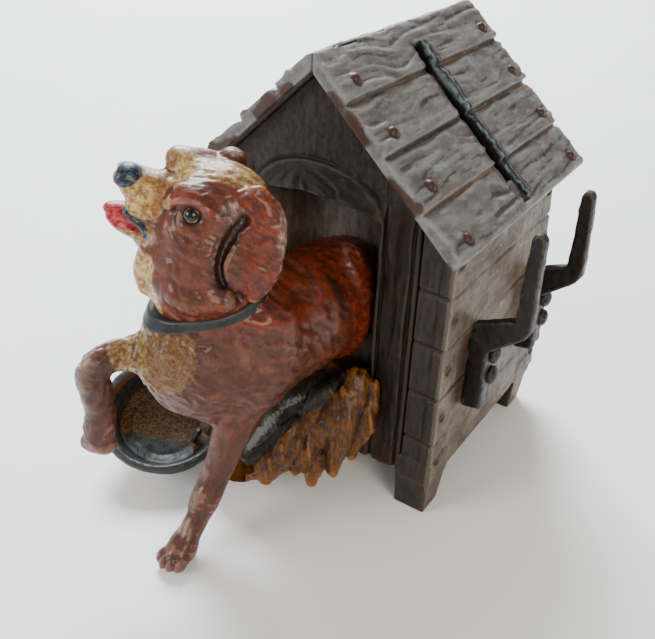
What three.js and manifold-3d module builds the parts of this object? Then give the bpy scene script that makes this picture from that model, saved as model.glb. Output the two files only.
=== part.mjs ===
// Cast iron still bank: a dog bursting out of a boarded kennel.
// Millimetres, +Z up. The doorway faces -Y, and the coin slot is in the +X slope of the roof.
// While it is being made, X = 0 is the middle of the kennel, Y = 0 its front face and Z = 0 the
// surface that it stands on. The finished group is then moved so that its origin is the middle
// of the whole object's footprint.

import * as THREE from 'three';
import { mergeVertices } from 'three/addons/utils/BufferGeometryUtils.js';
import Module from 'manifold-3d';

const wasm = await Module();
wasm.setup();

// Driving dimensions.
const GAP = 0.3; // between neighbouring pieces
const HALF_WIDTH = 30.2; // outside of a side wall
const DEPTH = 57.5; // front face to back face, at the skirt
const BACK_LEAN = 0.19; // the back leans in by this much of its height
const SHEET = 2.6; // thickness of a wall casting
const SKIRT = 9.2; // underside of the walls
const POST_WIDTH = 7.2; // corner post, on the front and back faces
const POST_DEPTH = 5;
const NAIL_INSET = 2.6; // from the wall's upright edges
const NAIL_ROWS = 5;
const NAIL_RADII = [0.8, 1.2, 1.2];
const FOOT_WIDTH = 9.2;
const FOOT_DEPTH = 8.5;
const FOOT_TOP = 9.5;
const REAR_FOOT_Y = 46;

const EAVE_X = 33.2;
const EAVE_Z = 64.8;
const RIDGE_Z = 96.2;
const ROOF_FRONT = -3.5;
const ROOF_BACK = 58;
const ROOF_THICK = 3.1; // measured square to the slope
const LAP = 0.7; // how far a roof board stands over the next one
const BOARDS = 4; // on each slope
const ROOF_NAIL_SHARE = 0.72; // of a board's width, from its upper edge
const ROOF_NAIL_FRONT = 6; // from the roof's front edge
const ROOF_NAIL_BACK = 4;
const ROOF_NAIL_RADII = [1.9, 1.9, 1.3];
const BOSS_RADIUS = 3.4;
const BOSS_LENGTH = 8.4;

const SLOT_WIDTH = 3;
const SLOT_START = 6; // distance down the slope
const SLOT_END = 38.6;
const SLOT_GROOVE_END = 44;
const SLOT_GROOVE_DEPTH = 1.6;
const SLOT_Y = 27.6;

const FRONT_JOINTS = 6.1; // spacing of the upright planks
const BACK_JOINTS = 9.2;
const EAR_SCREW_X = 19.4; // the screws that hold the recess to the front wall
const EAR_SCREW_Z = 40;
const DOG_SCREW_Z = 46;
const STRAW_SCREW_Z = 19;

const DOOR_HALF = 14;
const DOOR_SILL = 14;
const DOOR_SHOULDER = 66.2; // height of the doorway's upper corners
const DOOR_RISE = 1.6; // of its slightly arched head
const BAND_HALF = 14.6; // the arched board over the doorway
const BAND_RISE = 8.8;
const BAND_PROUD = 1.2;
const RECESS_DEPTH = 13;
const RECESS_WALL = 1.6;

const PLANK_PITCH = 11.7; // side planks, floor to floor
const FIRST_JOINT = 19.3; // height of the lowest joint
const JOINT_WIDTH = 0.7;
const JOINT_DEPTH = 0.6;

const FLOOR_LOW = 9.8; // base plate
const FLOOR_HIGH = 12.2;
const TRAP_Y = 27;
const TRAP_LOW_X = -11.5;
const TRAP_HIGH_X = 20.5;
const TRAP_WIDTH = 9;
const COVER_HALF = 6.5;
const COVER_PIVOT_X = -16;
const COVER_END_X = 16.5;
const COVER_LOW = 7.4;
const COVER_HIGH = 9;
const PIVOT_RADIUS = 1.5;
const PIVOT_CLEARANCE = 0.08;

const THROUGH = 20; // length of a tool that cuts right through a sheet
const SCREW_RADIUS = 1.2;
const HEAD_RADIUS = 2.3;
const TIE_RADIUS = 1.7;
const TIE_X = 22.4;
const TIE_Y = 17.2;
const TIE_TOP = 68;
const FLOOR_SCREW = { x: 24.2, y: 48.4, low: 4.5 };

const BRACKETS_Y = { front: 11.5, rear: 39.4 };
const PRONG_TOPS = { front: 67.2, rear: 65.8 };
const LEG_LOW = 24;
const LEG_THICK = 3.8;
const BRACKET_PLATE = 2.4;
const BRACKET_LEG = 5.8;
const RIVET_HEIGHTS = [36.6, 31.4];

const slope = Math.atan2(RIDGE_Z - EAVE_Z, EAVE_X);
const slopeLength = Math.hypot(EAVE_X, RIDGE_Z - EAVE_Z);
const underRidge = RIDGE_Z - (ROOF_THICK + GAP) / Math.cos(slope);

// ---------------------------------------------------------------- solids

function solid(geometry) {
  const bare = geometry.clone();
  bare.deleteAttribute('normal');
  bare.deleteAttribute('uv');
  const merged = mergeVertices(bare, 1e-4);
  const mesh = new wasm.Mesh({
    numProp: 3,
    vertProperties: new Float32Array(merged.attributes.position.array),
    triVerts: new Uint32Array(merged.index.array),
  });
  return new wasm.Manifold(mesh);
}

function surface(body) {
  const mesh = body.getMesh();
  const geometry = new THREE.BufferGeometry();
  geometry.setAttribute('position', new THREE.BufferAttribute(new Float32Array(mesh.vertProperties), 3));
  geometry.setIndex(new THREE.BufferAttribute(new Uint32Array(mesh.triVerts), 1));
  geometry.computeVertexNormals();
  return geometry;
}

function join(bodies) {
  return bodies.reduce((whole, body) => whole.add(body));
}

function cut(body, tools) {
  return tools.reduce((left, tool) => left.subtract(tool), body);
}

function block(low, high) {
  const size = high.map((value, axis) => value - low[axis]);
  const geometry = new THREE.BoxGeometry(...size);
  geometry.translate(...low.map((value, axis) => value + size[axis] / 2));
  return solid(geometry);
}

// A cylinder whose axis runs along X, Y or Z from one end to the other.
function rod(axis, start, length, radius, sides = 16) {
  const geometry = new THREE.CylinderGeometry(radius, radius, length, sides);
  geometry.translate(0, length / 2, 0);
  if (axis === 'z') geometry.rotateX(Math.PI / 2);
  if (axis === 'x') geometry.rotateZ(-Math.PI / 2);
  geometry.translate(...start);
  return solid(geometry);
}

function ellipsoid(centre, radii, turn = new THREE.Matrix4(), across = 14, down = 8) {
  const geometry = new THREE.SphereGeometry(1, across, down);
  geometry.scale(...radii);
  geometry.applyMatrix4(turn);
  geometry.translate(...centre);
  return solid(geometry);
}

// An outline drawn in X and Z, extruded along Y.
function slabXZ(outline, yLow, yHigh) {
  const shape = outline instanceof THREE.Shape ? outline : shapeOf(outline);
  const geometry = new THREE.ExtrudeGeometry(shape, {
    depth: yHigh - yLow,
    bevelEnabled: false,
    curveSegments: 14,
  });
  geometry.rotateX(Math.PI / 2);
  geometry.translate(0, yHigh, 0);
  return solid(geometry);
}

// An outline drawn in X and Y, extruded along Z.
function slabXY(shape, zLow, zHigh) {
  const geometry = new THREE.ExtrudeGeometry(shape, {
    depth: zHigh - zLow,
    bevelEnabled: false,
    curveSegments: 12,
  });
  geometry.translate(0, 0, zLow);
  return solid(geometry);
}

function shapeOf(points) {
  return new THREE.Shape(points.map(([x, z]) => new THREE.Vector2(x, z)));
}

// A closed skin over rings of points, with a flat fan over each end.
function skin(rings) {
  const sides = rings[0].length;
  const last = rings.length - 1;
  const centres = [rings[0], rings[last]].map((ring) => {
    const sum = ring.reduce((total, point) => total.add(point), new THREE.Vector3());
    return sum.divideScalar(sides);
  });
  const points = [...rings.flat(), ...centres];
  const startCentre = sides * rings.length;
  const endCentre = startCentre + 1;
  const index = [];
  for (let side = 0; side < sides; side += 1) {
    const next = (side + 1) % sides;
    index.push(startCentre, next, side);
    index.push(endCentre, last * sides + side, last * sides + next);
    for (let ring = 0; ring < last; ring += 1) {
      const here = ring * sides;
      const there = here + sides;
      index.push(here + side, here + next, there + side);
      index.push(here + next, there + next, there + side);
    }
  }
  const geometry = new THREE.BufferGeometry().setFromPoints(points);
  geometry.setIndex(index);
  return solid(geometry);
}

// Where the rings of a limb's round end lie, as angles up from its widest place.
const CAP_ANGLES = [0.6, 1.1];

// A limb: stations of [x, y, z, half width, half height], joined by a smooth curve with round ends.
// across is the direction of the half width.
function limb(stations, across, sides = 10, steps = 2, round = true) {
  const curve = new THREE.CatmullRomCurve3(stations.map(([x, y, z]) => new THREE.Vector3(x, y, z)));
  const count = (stations.length - 1) * steps;
  const level = new THREE.Vector3(...across);
  const ringAt = (share, out, shrink) => {
    const tangent = curve.getTangent(share);
    const centre = curve.getPoint(share).addScaledVector(tangent, out);
    const wide = level.clone().addScaledVector(tangent, -tangent.dot(level)).normalize();
    const high = new THREE.Vector3().crossVectors(tangent, wide);
    const [halfWide, halfHigh] = sizeAt(stations, share);
    return Array.from({ length: sides }, (_, side) => {
      const angle = (side / sides) * 2 * Math.PI;
      return centre
        .clone()
        .addScaledVector(wide, halfWide * shrink * Math.cos(angle))
        .addScaledVector(high, halfHigh * shrink * Math.sin(angle));
    });
  };
  const capAt = (share, direction) => {
    const reach = Math.min(...sizeAt(stations, share)) * direction;
    return CAP_ANGLES.map((angle) => ringAt(share, reach * Math.sin(angle), Math.cos(angle)));
  };
  const rings = Array.from({ length: count + 1 }, (_, step) => ringAt(step / count, 0, 1));
  return skin(round ? [...capAt(0, -1).reverse(), ...rings, ...capAt(1, 1)] : rings);
}

function sizeAt(stations, share) {
  const place = share * (stations.length - 1);
  const index = Math.min(Math.floor(place), stations.length - 2);
  const blend = place - index;
  return [3, 4].map((column) => {
    return THREE.MathUtils.lerp(stations[index][column], stations[index + 1][column], blend);
  });
}

// ---------------------------------------------------------------- the roof

// A point on the roof's section: distance down the slope, and height square to it.
function onSlope(distance, height, side = 1) {
  const x = distance * Math.cos(slope) + height * Math.sin(slope);
  const z = RIDGE_Z - distance * Math.sin(slope) + height * Math.cos(slope);
  return [side * x, z];
}

function roofSection() {
  const board = slopeLength / BOARDS;
  const oneSide = (side) => {
    const points = [];
    for (let number = 0; number < BOARDS; number += 1) {
      const start = number * board;
      if (number > 0) points.push(onSlope(start, -LAP, side));
      points.push(onSlope(start + board, 0, side));
    }
    points.push(onSlope(slopeLength, -ROOF_THICK, side));
    return points;
  };
  const ridge = [[0, RIDGE_Z - LAP]];
  const underside = [[0, RIDGE_Z - ROOF_THICK / Math.cos(slope)]];
  return [...ridge, ...oneSide(1), ...underside, ...oneSide(-1).reverse()];
}

function slopedBlock(from, to, depthLow, depthHigh, yMiddle, width) {
  const outline = [[from, depthLow], [to, depthLow], [to, depthHigh], [from, depthHigh]];
  return slabXZ(outline.map(([s, h]) => onSlope(s, h)), yMiddle - width / 2, yMiddle + width / 2);
}

function nailHead(distance, y, side) {
  const [x, z] = onSlope(distance, -LAP / 2, side);
  return ellipsoid([x, y, z], ROOF_NAIL_RADII, new THREE.Matrix4().makeRotationY(side * slope), 8, 6);
}

function makeRoof() {
  const nails = [];
  const board = slopeLength / BOARDS;
  for (const side of [1, -1]) {
    for (let number = 0; number < BOARDS; number += 1) {
      const distance = (number + ROOF_NAIL_SHARE) * board;
      nails.push(nailHead(distance, ROOF_FRONT + ROOF_NAIL_FRONT, side));
      nails.push(nailHead(distance, ROOF_BACK - ROOF_NAIL_BACK, side));
    }
  }
  const bosses = [];
  const screwHoles = [];
  for (const x of [-TIE_X, TIE_X]) {
    bosses.push(rod('z', [x, TIE_Y, TIE_TOP - 6], BOSS_LENGTH, BOSS_RADIUS, 12));
    screwHoles.push(rod('z', [x, TIE_Y, TIE_TOP - 7], 8.5, TIE_RADIUS + GAP, 12));
  }
  const roof = join([slabXZ(roofSection(), ROOF_FRONT, ROOF_BACK), ...bosses, ...nails]);
  const groove = slopedBlock(SLOT_START, SLOT_GROOVE_END, -SLOT_GROOVE_DEPTH, 2, SLOT_Y, SLOT_WIDTH);
  const opening = slopedBlock(SLOT_START, SLOT_END, -2 * ROOF_THICK, 2, SLOT_Y, SLOT_WIDTH);
  return cut(roof, [groove, opening, ...screwHoles]);
}

// ---------------------------------------------------------------- the walls

function roofLine(x) {
  return underRidge - Math.abs(x) * Math.tan(slope);
}

function foot(side, yLow) {
  const bottomInset = 0.9;
  const ring = (z, inset) => {
    const inner = HALF_WIDTH - FOOT_WIDTH + inset;
    const outer = HALF_WIDTH - inset;
    const near = yLow + inset;
    const far = yLow + FOOT_DEPTH - inset;
    const corners = [[inner, near], [outer, near], [outer, far], [inner, far]];
    return corners.map(([x, y]) => new THREE.Vector3(x, y, z));
  };
  const body = skin([ring(0, bottomInset), ring(FOOT_TOP, 0)]);
  return side > 0 ? body : mirrored(body);
}

function mirrored(body) {
  return body.mirror([1, 0, 0]);
}

// Everything above the underside of the roof, with a small gap.
function aboveWalls() {
  const far = HALF_WIDTH * 2;
  const high = RIDGE_Z * 2;
  const corners = [[0, underRidge], [far, roofLine(far)], [far, high], [-far, high], [-far, roofLine(far)]];
  return slabXZ(corners, -DEPTH, DEPTH * 2);
}

function backAt(z) {
  return DEPTH - BACK_LEAN * (z - SKIRT);
}

// An upright slab between two depths from the back face, leaning with it.
function leaningSlab(xLow, xHigh, zLow, depthLow, depthHigh) {
  const ring = (z) => {
    const near = backAt(z) - depthHigh;
    const far = backAt(z) - depthLow;
    const corners = [[xLow, near], [xHigh, near], [xHigh, far], [xLow, far]];
    return corners.map(([x, y]) => new THREE.Vector3(x, y, z));
  };
  return skin([ring(zLow), ring(RIDGE_Z)]);
}

function sideWall() {
  const inside = HALF_WIDTH - SHEET;
  const postInside = HALF_WIDTH - POST_WIDTH;
  const whole = block([inside, 0, SKIRT], [HALF_WIDTH, DEPTH, RIDGE_Z]);
  const behind = leaningSlab(inside - 1, HALF_WIDTH + 1, 0, -40, 0);
  const sheet = whole.subtract(behind);
  const frontPost = block([postInside, 0, SKIRT], [HALF_WIDTH, POST_DEPTH, RIDGE_Z]);
  const backPost = leaningSlab(postInside, HALF_WIDTH, SKIRT, 0, POST_DEPTH);
  const feet = [foot(1, 0), foot(1, REAR_FOOT_Y)];
  const joints = [];
  for (let z = FIRST_JOINT; z < EAVE_Z; z += PLANK_PITCH) {
    const outside = HALF_WIDTH - JOINT_DEPTH;
    joints.push(block([outside, -1, z], [HALF_WIDTH + 1, DEPTH + 1, z + JOINT_WIDTH]));
    joints.push(block([postInside - 1, -1, z], [HALF_WIDTH + 1, JOINT_DEPTH, z + JOINT_WIDTH]));
  }
  const holeStart = [FLOOR_SCREW.x, FLOOR_SCREW.y, FLOOR_SCREW.low - GAP];
  const screwHole = rod('z', holeStart, THROUGH, SCREW_RADIUS + GAP, 10);
  return cut(join([sheet, frontPost, backPost, ...feet]), [aboveWalls(), screwHole, ...joints]);
}

function nailedWall(side) {
  const nails = [];
  for (let row = 0; row < NAIL_ROWS; row += 1) {
    const z = FIRST_JOINT + (row - 0.5) * PLANK_PITCH + JOINT_WIDTH;
    for (const y of [NAIL_INSET, backAt(z) - NAIL_INSET]) {
      nails.push(ellipsoid([HALF_WIDTH, y, z], NAIL_RADII, new THREE.Matrix4(), 8, 6));
    }
  }
  const wall = join([sideWall(), ...nails]);
  return side > 0 ? wall : mirrored(wall);
}

function rivetHoles() {
  const holes = [];
  for (const y of Object.values(BRACKETS_Y)) {
    for (const z of RIVET_HEIGHTS) {
      holes.push(rod('x', [HALF_WIDTH - 6, y + BRACKET_LEG / 2 + 1, z], 20, SCREW_RADIUS + GAP, 12));
    }
  }
  return holes;
}

// An upright outline with a slightly arched head.
function doorShape(half, low, shoulder) {
  const shape = new THREE.Shape();
  shape.moveTo(-half, low);
  shape.lineTo(half, low);
  shape.lineTo(half, shoulder);
  shape.quadraticCurveTo(0, shoulder + 2 * DOOR_RISE, -half, shoulder);
  shape.lineTo(-half, low);
  return shape;
}

function plankJoints(yLow, yHigh, spacing) {
  const joints = [];
  const half = HALF_WIDTH - POST_WIDTH;
  for (let x = spacing / 2; x < half - 2; x += spacing) {
    for (const side of [-1, 1]) {
      const low = side * x - JOINT_WIDTH / 2;
      joints.push(block([low, yLow, 0], [low + JOINT_WIDTH, yHigh, RIDGE_Z]));
    }
  }
  return joints;
}

function makeFrontWall() {
  const half = HALF_WIDTH - POST_WIDTH - GAP;
  const sheet = block([-half, 0, FOOT_TOP + GAP], [half, SHEET, RIDGE_Z]);
  const planked = cut(sheet, plankJoints(-1, JOINT_DEPTH, FRONT_JOINTS));
  const arc = new THREE.Shape();
  arc.moveTo(BAND_HALF, DOOR_SHOULDER);
  arc.absellipse(0, DOOR_SHOULDER, BAND_HALF, BAND_RISE, 0, Math.PI, false);
  const band = slabXZ(arc, -BAND_PROUD, SHEET / 2);
  const door = slabXZ(doorShape(DOOR_HALF, DOOR_SILL, DOOR_SHOULDER), -2 * BAND_PROUD, SHEET + 1);
  const screws = [-1, 1].map((side) => {
    return rod('y', [side * EAR_SCREW_X, 1.2, EAR_SCREW_Z], 4, SCREW_RADIUS + GAP, 10);
  });
  return cut(join([planked, band]), [aboveWalls(), door, ...screws]);
}

function makeBackWall() {
  const half = HALF_WIDTH - POST_WIDTH - GAP;
  const sheet = leaningSlab(-half, half, FOOT_TOP + GAP, 0, SHEET);
  const joints = [];
  for (let x = -2 * BACK_JOINTS; x < half; x += BACK_JOINTS) {
    joints.push(leaningSlab(x, x + JOINT_WIDTH, 0, -1, JOINT_DEPTH));
  }
  return cut(sheet, [aboveWalls(), ...joints]);
}

// A blind arched box behind the doorway, so that coins stay in. Two ears take its screws.
function makeRecess() {
  const low = SHEET + GAP;
  const far = low + RECESS_DEPTH;
  const outsideLow = DOOR_SILL - RECESS_WALL + GAP;
  const outside = doorShape(DOOR_HALF + RECESS_WALL, outsideLow, DOOR_SHOULDER + RECESS_WALL);
  const outer = slabXZ(outside, low, far);
  const inner = slabXZ(doorShape(DOOR_HALF, DOOR_SILL, DOOR_SHOULDER), -1, far - RECESS_WALL);
  const earEnd = HALF_WIDTH - POST_WIDTH - GAP - 0.5;
  const ears = block([-earEnd, low, EAR_SCREW_Z - 4], [earEnd, low + RECESS_WALL, EAR_SCREW_Z + 4]);
  const earHoles = [-1, 1].map((side) => {
    return rod('y', [side * EAR_SCREW_X, low - 1, EAR_SCREW_Z], 4, SCREW_RADIUS + GAP, 10);
  });
  const backHoles = [DOG_SCREW_Z, STRAW_SCREW_Z].map((z) => {
    return rod('y', [0, low + 5, z], RECESS_DEPTH, SCREW_RADIUS + GAP, 10);
  });
  return cut(join([outer, ears]), [inner, ...earHoles, ...backHoles]);
}

// ---------------------------------------------------------------- the base and its coin trap

function makeBasePlate() {
  const half = HALF_WIDTH - SHEET - GAP;
  const near = SHEET + GAP;
  const far = backAt(FLOOR_HIGH) - SHEET - GAP;
  const plate = block([-half, near, FLOOR_LOW], [half, far, FLOOR_HIGH]);
  const corners = [];
  for (const side of [-1, 1]) {
    const inner = HALF_WIDTH - POST_WIDTH - GAP;
    const xs = [side * inner, side * (half + 1)].sort((a, b) => a - b);
    corners.push(block([xs[0], near - 1, 0], [xs[1], POST_DEPTH + GAP, RIDGE_Z]));
    corners.push(block([xs[0], backAt(FLOOR_HIGH) - POST_DEPTH - GAP, 0], [xs[1], far + 1, RIDGE_Z]));
  }
  const trapHalf = TRAP_WIDTH / 2;
  const opening = block([TRAP_LOW_X, TRAP_Y - trapHalf, 0], [TRAP_HIGH_X, TRAP_Y + trapHalf, THROUGH]);
  const pivot = rod('z', [COVER_PIVOT_X, TRAP_Y, 0], THROUGH, PIVOT_RADIUS + GAP, 20);
  const ties = [-1, 1].map((side) => rod('z', [side * TIE_X, TIE_Y, 0], THROUGH, TIE_RADIUS + GAP, 12));
  const screws = [-1, 1].map((side) => {
    return rod('z', [side * FLOOR_SCREW.x, FLOOR_SCREW.y, 0], THROUGH, SCREW_RADIUS + GAP, 10);
  });
  const stopLength = 3.5;
  const closedStop = rod('z', [14, TRAP_Y - COVER_HALF - 1.4, COVER_LOW], stopLength, 1, 10);
  const openStop = rod('z', [-22.9, TRAP_Y + 12.6, COVER_LOW], stopLength, 1, 10);
  return join([cut(plate, [...corners, opening, pivot, ...ties, ...screws]), closedStop, openStop]);
}

function makeTrapCover() {
  const shape = new THREE.Shape();
  shape.absarc(COVER_END_X, TRAP_Y, COVER_HALF, -Math.PI / 2, Math.PI / 2, false);
  shape.absarc(COVER_PIVOT_X, TRAP_Y, COVER_HALF, Math.PI / 2, (3 * Math.PI) / 2, false);
  const plate = slabXY(shape, COVER_LOW, COVER_HIGH);
  const knob = rod('z', [COVER_END_X + 1, TRAP_Y, COVER_LOW - 1.8], 2.5, 2, 12);
  const bore = rod('z', [COVER_PIVOT_X, TRAP_Y, 0], THROUGH, PIVOT_RADIUS + PIVOT_CLEARANCE, 20);
  return cut(join([plate, knob]), [bore]);
}

// A pin with a domed head at each end, its shank running up from z = 0.
function rivet(shank, radius, headRadius, headHeight, sides = 14) {
  const head = [
    [0, -headHeight],
    [headRadius * 0.55, -headHeight * 0.86],
    [headRadius * 0.88, -headHeight * 0.48],
    [headRadius, 0],
    [radius, 0],
  ];
  const top = [
    [radius, shank],
    [headRadius * 0.85, shank],
    [headRadius * 0.6, shank + headHeight * 0.6],
    [0, shank + headHeight * 0.75],
  ];
  return new THREE.LatheGeometry([...head, ...top].map(([x, y]) => new THREE.Vector2(x, y)), sides);
}

// A cheese-head screw: a slotted head below y = 0 and a plain shank above it.
function screw(length, radius, headRadius, headHeight, sides = 14) {
  const profile = [
    [0, -headHeight],
    [headRadius * 0.8, -headHeight],
    [headRadius, -headHeight * 0.7],
    [headRadius, 0],
    [radius, 0],
    [radius, length - radius],
    [radius * 0.4, length],
    [0, length],
  ];
  const body = solid(new THREE.LatheGeometry(profile.map(([x, y]) => new THREE.Vector2(x, y)), sides));
  const slotHalf = headRadius * 0.14;
  const slotEnd = headRadius * 2;
  const slot = block([-slotEnd, -headHeight - 1, -slotHalf], [slotEnd, -headHeight / 2, slotHalf]);
  return surface(body.subtract(slot));
}

// ---------------------------------------------------------------- the side brackets

// A flat hook whose leg lies against the wall. Its prong rises to prongTop.
function makeBracket(y, prongTop) {
  const wall = HALF_WIDTH + GAP;
  const legOut = wall + LEG_THICK;
  const hook = new THREE.Shape();
  hook.moveTo(wall, LEG_LOW);
  hook.lineTo(legOut, LEG_LOW + 0.6);
  hook.lineTo(legOut - 0.4, 38.4);
  hook.lineTo(wall + 10.8, 44.4);
  hook.quadraticCurveTo(wall + 12, 46, wall + 11.8, 49);
  hook.lineTo(wall + 11, prongTop - 2);
  hook.quadraticCurveTo(wall + 9.9, prongTop + 0.4, wall + 8.2, prongTop - 1.6);
  hook.lineTo(wall + 8.2, 47.8);
  hook.lineTo(wall, 44.2);
  const plate = slabXZ(hook, y, y + BRACKET_PLATE);
  const side = [[wall, LEG_LOW], [legOut, LEG_LOW + 0.6], [legOut - 0.4, 40], [wall, 42]];
  const leg = slabXZ(side, y, y + BRACKET_LEG);
  const holes = RIVET_HEIGHTS.map((z) => {
    return rod('x', [wall - 2, y + BRACKET_LEG / 2 + 1, z], 12, SCREW_RADIUS + GAP, 12);
  });
  return cut(join([plate, leg]), holes);
}

// ---------------------------------------------------------------- the straw and the bowl

function tuft(root, tip, width) {
  const bulge = root.map((value, axis) => (value + tip[axis]) / 2);
  bulge[2] += 1.6;
  const stations = [
    [...root, width, width * 0.8],
    [...bulge, width * 1.15, width],
    [...tip, width * 0.55, width * 0.5],
  ];
  return limb(stations, [0, 0, 1], 7, 2);
}

// The bowl is turned about its own axis, then tipped towards the front. A screw through its
// side holds it to the end of the straw.
const bowlCentre = new THREE.Vector3(-28, -17.9, 13.3); // middle of the rim
const bowlAxis = new THREE.Vector3(0.321, -0.298, 0.899).normalize();
const bowlScrewWay = new THREE.Vector3(0.945, 0.12, 0).projectOnPlane(bowlAxis).normalize();
const BOWL_RADIUS = 14.6;
const BOWL_HEIGHT = 9;
const BOWL_WALL = 2;
const BOWL_FOOT = 8.8;
const BOWL_SCREW_DEPTH = 4; // below the rim
const BOWL_SCREW_START = 8.7; // distance from the bowl's axis to the back of the screw's head
const BOWL_SCREW_LENGTH = 9;

function tipped(profile, sides) {
  const geometry = new THREE.LatheGeometry(profile.map(([x, y]) => new THREE.Vector2(x, y)), sides);
  const up = new THREE.Vector3(0, 1, 0);
  geometry.applyQuaternion(new THREE.Quaternion().setFromUnitVectors(up, bowlAxis));
  geometry.translate(...bowlCentre);
  return solid(geometry);
}

function bowlScrewPlace() {
  return bowlCentre
    .clone()
    .addScaledVector(bowlAxis, -BOWL_SCREW_DEPTH)
    .addScaledVector(bowlScrewWay, BOWL_SCREW_START);
}

function bowlScrewHole() {
  const hole = new THREE.CylinderGeometry(SCREW_RADIUS + GAP, SCREW_RADIUS + GAP, 20, 10);
  hole.translate(0, BOWL_SCREW_LENGTH + GAP - 10, 0);
  hole.applyQuaternion(new THREE.Quaternion().setFromUnitVectors(new THREE.Vector3(0, 1, 0), bowlScrewWay));
  hole.translate(...bowlScrewPlace());
  return solid(hole);
}

function makeBowl() {
  const bowl = tipped([
    [0, -BOWL_HEIGHT],
    [BOWL_FOOT, -BOWL_HEIGHT],
    [BOWL_FOOT + 2.4, -BOWL_HEIGHT * 0.72],
    [BOWL_RADIUS - 0.7, -BOWL_HEIGHT * 0.32],
    [BOWL_RADIUS, -1.2],
    [BOWL_RADIUS - 0.3, -0.2],
    [BOWL_RADIUS - BOWL_WALL + 0.3, -0.1],
    [BOWL_RADIUS - BOWL_WALL - 0.4, -1.4],
    [BOWL_RADIUS - BOWL_WALL - 2.2, -BOWL_HEIGHT * 0.6],
    [BOWL_FOOT - 1, -BOWL_HEIGHT + BOWL_WALL],
    [0, -BOWL_HEIGHT + BOWL_WALL],
  ], 28);
  return bowl.subtract(bowlScrewHole());
}

// The space that the bowl fills, a little larger than the bowl.
function bowlSpace() {
  return tipped([
    [0, -BOWL_HEIGHT - GAP],
    [BOWL_FOOT + GAP, -BOWL_HEIGHT - GAP],
    [BOWL_FOOT + 2.4 + GAP, -BOWL_HEIGHT * 0.72],
    [BOWL_RADIUS - 0.7 + GAP, -BOWL_HEIGHT * 0.32],
    [BOWL_RADIUS + GAP, -1.2],
    [BOWL_RADIUS + GAP, 8],
    [0, 8],
  ], 28);
}

// A tongue of straw that runs from inside the doorway, over the sill and down to the bowl.
function makeStraw() {
  const sill = DOOR_SILL + GAP;
  const sections = [
    { x: [-12.6, 13.2], y: 12, low: sill, high: 24 },
    { x: [-13, 13.4], y: -GAP, low: sill, high: 33 },
    { x: [-14, 13.5], y: -5, low: 11, high: 30 },
    { x: [-17, 4], y: -12, low: 6, high: 17 },
    { x: [-19, -5], y: -18, low: 4, high: 12.5 },
  ];
  const rings = sections.map(({ x, y, low, high }) => {
    const bevel = 2;
    const corners = [
      [x[1], low],
      [x[1], high - bevel],
      [x[1] - bevel, high],
      [x[0] + bevel, high],
      [x[0], high - bevel],
      [x[0], low],
    ];
    return corners.map(([px, pz]) => new THREE.Vector3(px, y, pz));
  });
  const tufts = [
    tuft([10, -4, 28], [16.4, -6, 17], 3),
    tuft([9, -5, 24], [12.4, -8, 11], 3),
    tuft([6, -7, 22], [8.5, -10, 11], 3),
    tuft([4, -9, 18], [4.5, -13, 10], 2.8),
    tuft([0, -11, 14], [-0.5, -15, 7.5], 2.6),
    tuft([-5, -13, 13], [-5.5, -17, 8], 2.4),
    tuft([-10, -4, 26], [-16.5, -7, 14], 3),
    tuft([-12, -7, 20], [-17, -10, 10.5], 3),
  ];
  const hole = rod('y', [0, 4, STRAW_SCREW_Z], 12, SCREW_RADIUS + GAP, 10);
  return cut(join([skin(rings), ...tufts]), [hole, bowlSpace(), bowlScrewHole()]);
}

// ---------------------------------------------------------------- the dog

// The head has its own frame: forward along the muzzle, right to the dog's right, and up.
const HEAD = new THREE.Vector3(-6, -21, 70.5);
const HEAD_TURN = THREE.MathUtils.degToRad(50);
const HEAD_PITCH = THREE.MathUtils.degToRad(18);
const HEAD_ROLL = THREE.MathUtils.degToRad(12);

function headAxes() {
  const forward = new THREE.Vector3(
    -Math.sin(HEAD_TURN) * Math.cos(HEAD_PITCH),
    -Math.cos(HEAD_TURN) * Math.cos(HEAD_PITCH),
    Math.sin(HEAD_PITCH),
  );
  const level = new THREE.Vector3(-Math.cos(HEAD_TURN), Math.sin(HEAD_TURN), 0);
  const right = level.clone().applyAxisAngle(forward, -HEAD_ROLL);
  const up = new THREE.Vector3().crossVectors(right, forward);
  return new THREE.Matrix4().makeBasis(forward, right.clone().negate(), up);
}

const headTurn = headAxes();

// A place in the head's frame, as a point of the whole model.
function inHead(forward, right, up) {
  return new THREE.Vector3(forward, -right, up).applyMatrix4(headTurn).add(HEAD).toArray();
}

function headBall(place, radii, across = 10, down = 8) {
  return ellipsoid(inHead(...place), radii, headTurn, across, down);
}

function headLimb(stations, steps = 2) {
  const across = new THREE.Vector3(0, 1, 0).applyMatrix4(headTurn).toArray();
  const placed = stations.map(([f, r, u, wide, high]) => [...inHead(f, r, u), wide, high]);
  return limb(placed, across, 10, steps);
}

function ear(side) {
  const root = inHead(-2.5, side * 7.6, 5.2);
  const stations = [
    [...root, 2.6, 1.6],
    [root[0] + 2.6, root[1] + 1.2, root[2] - 5, 4.2, 1.8],
    [root[0] + 3.2, root[1] + 1.4, root[2] - 12, 4.4, 1.7],
    [root[0] + 2.6, root[1] + 0.6, root[2] - 18, 2.6, 1.3],
  ];
  if (side > 0) {
    const folded = [
      [...root, 2.4, 1.8],
      [root[0] - 3, root[1] + 2, root[2] - 4, 3.8, 1.8],
      [root[0] - 4, root[1] + 2.4, root[2] - 14, 3.4, 1.5],
    ];
    return limb(folded, [0.75, 0.65, 0], 8, 2);
  }
  return limb(stations, [0.8, 0.55, 0.1], 8, 2);
}

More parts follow.
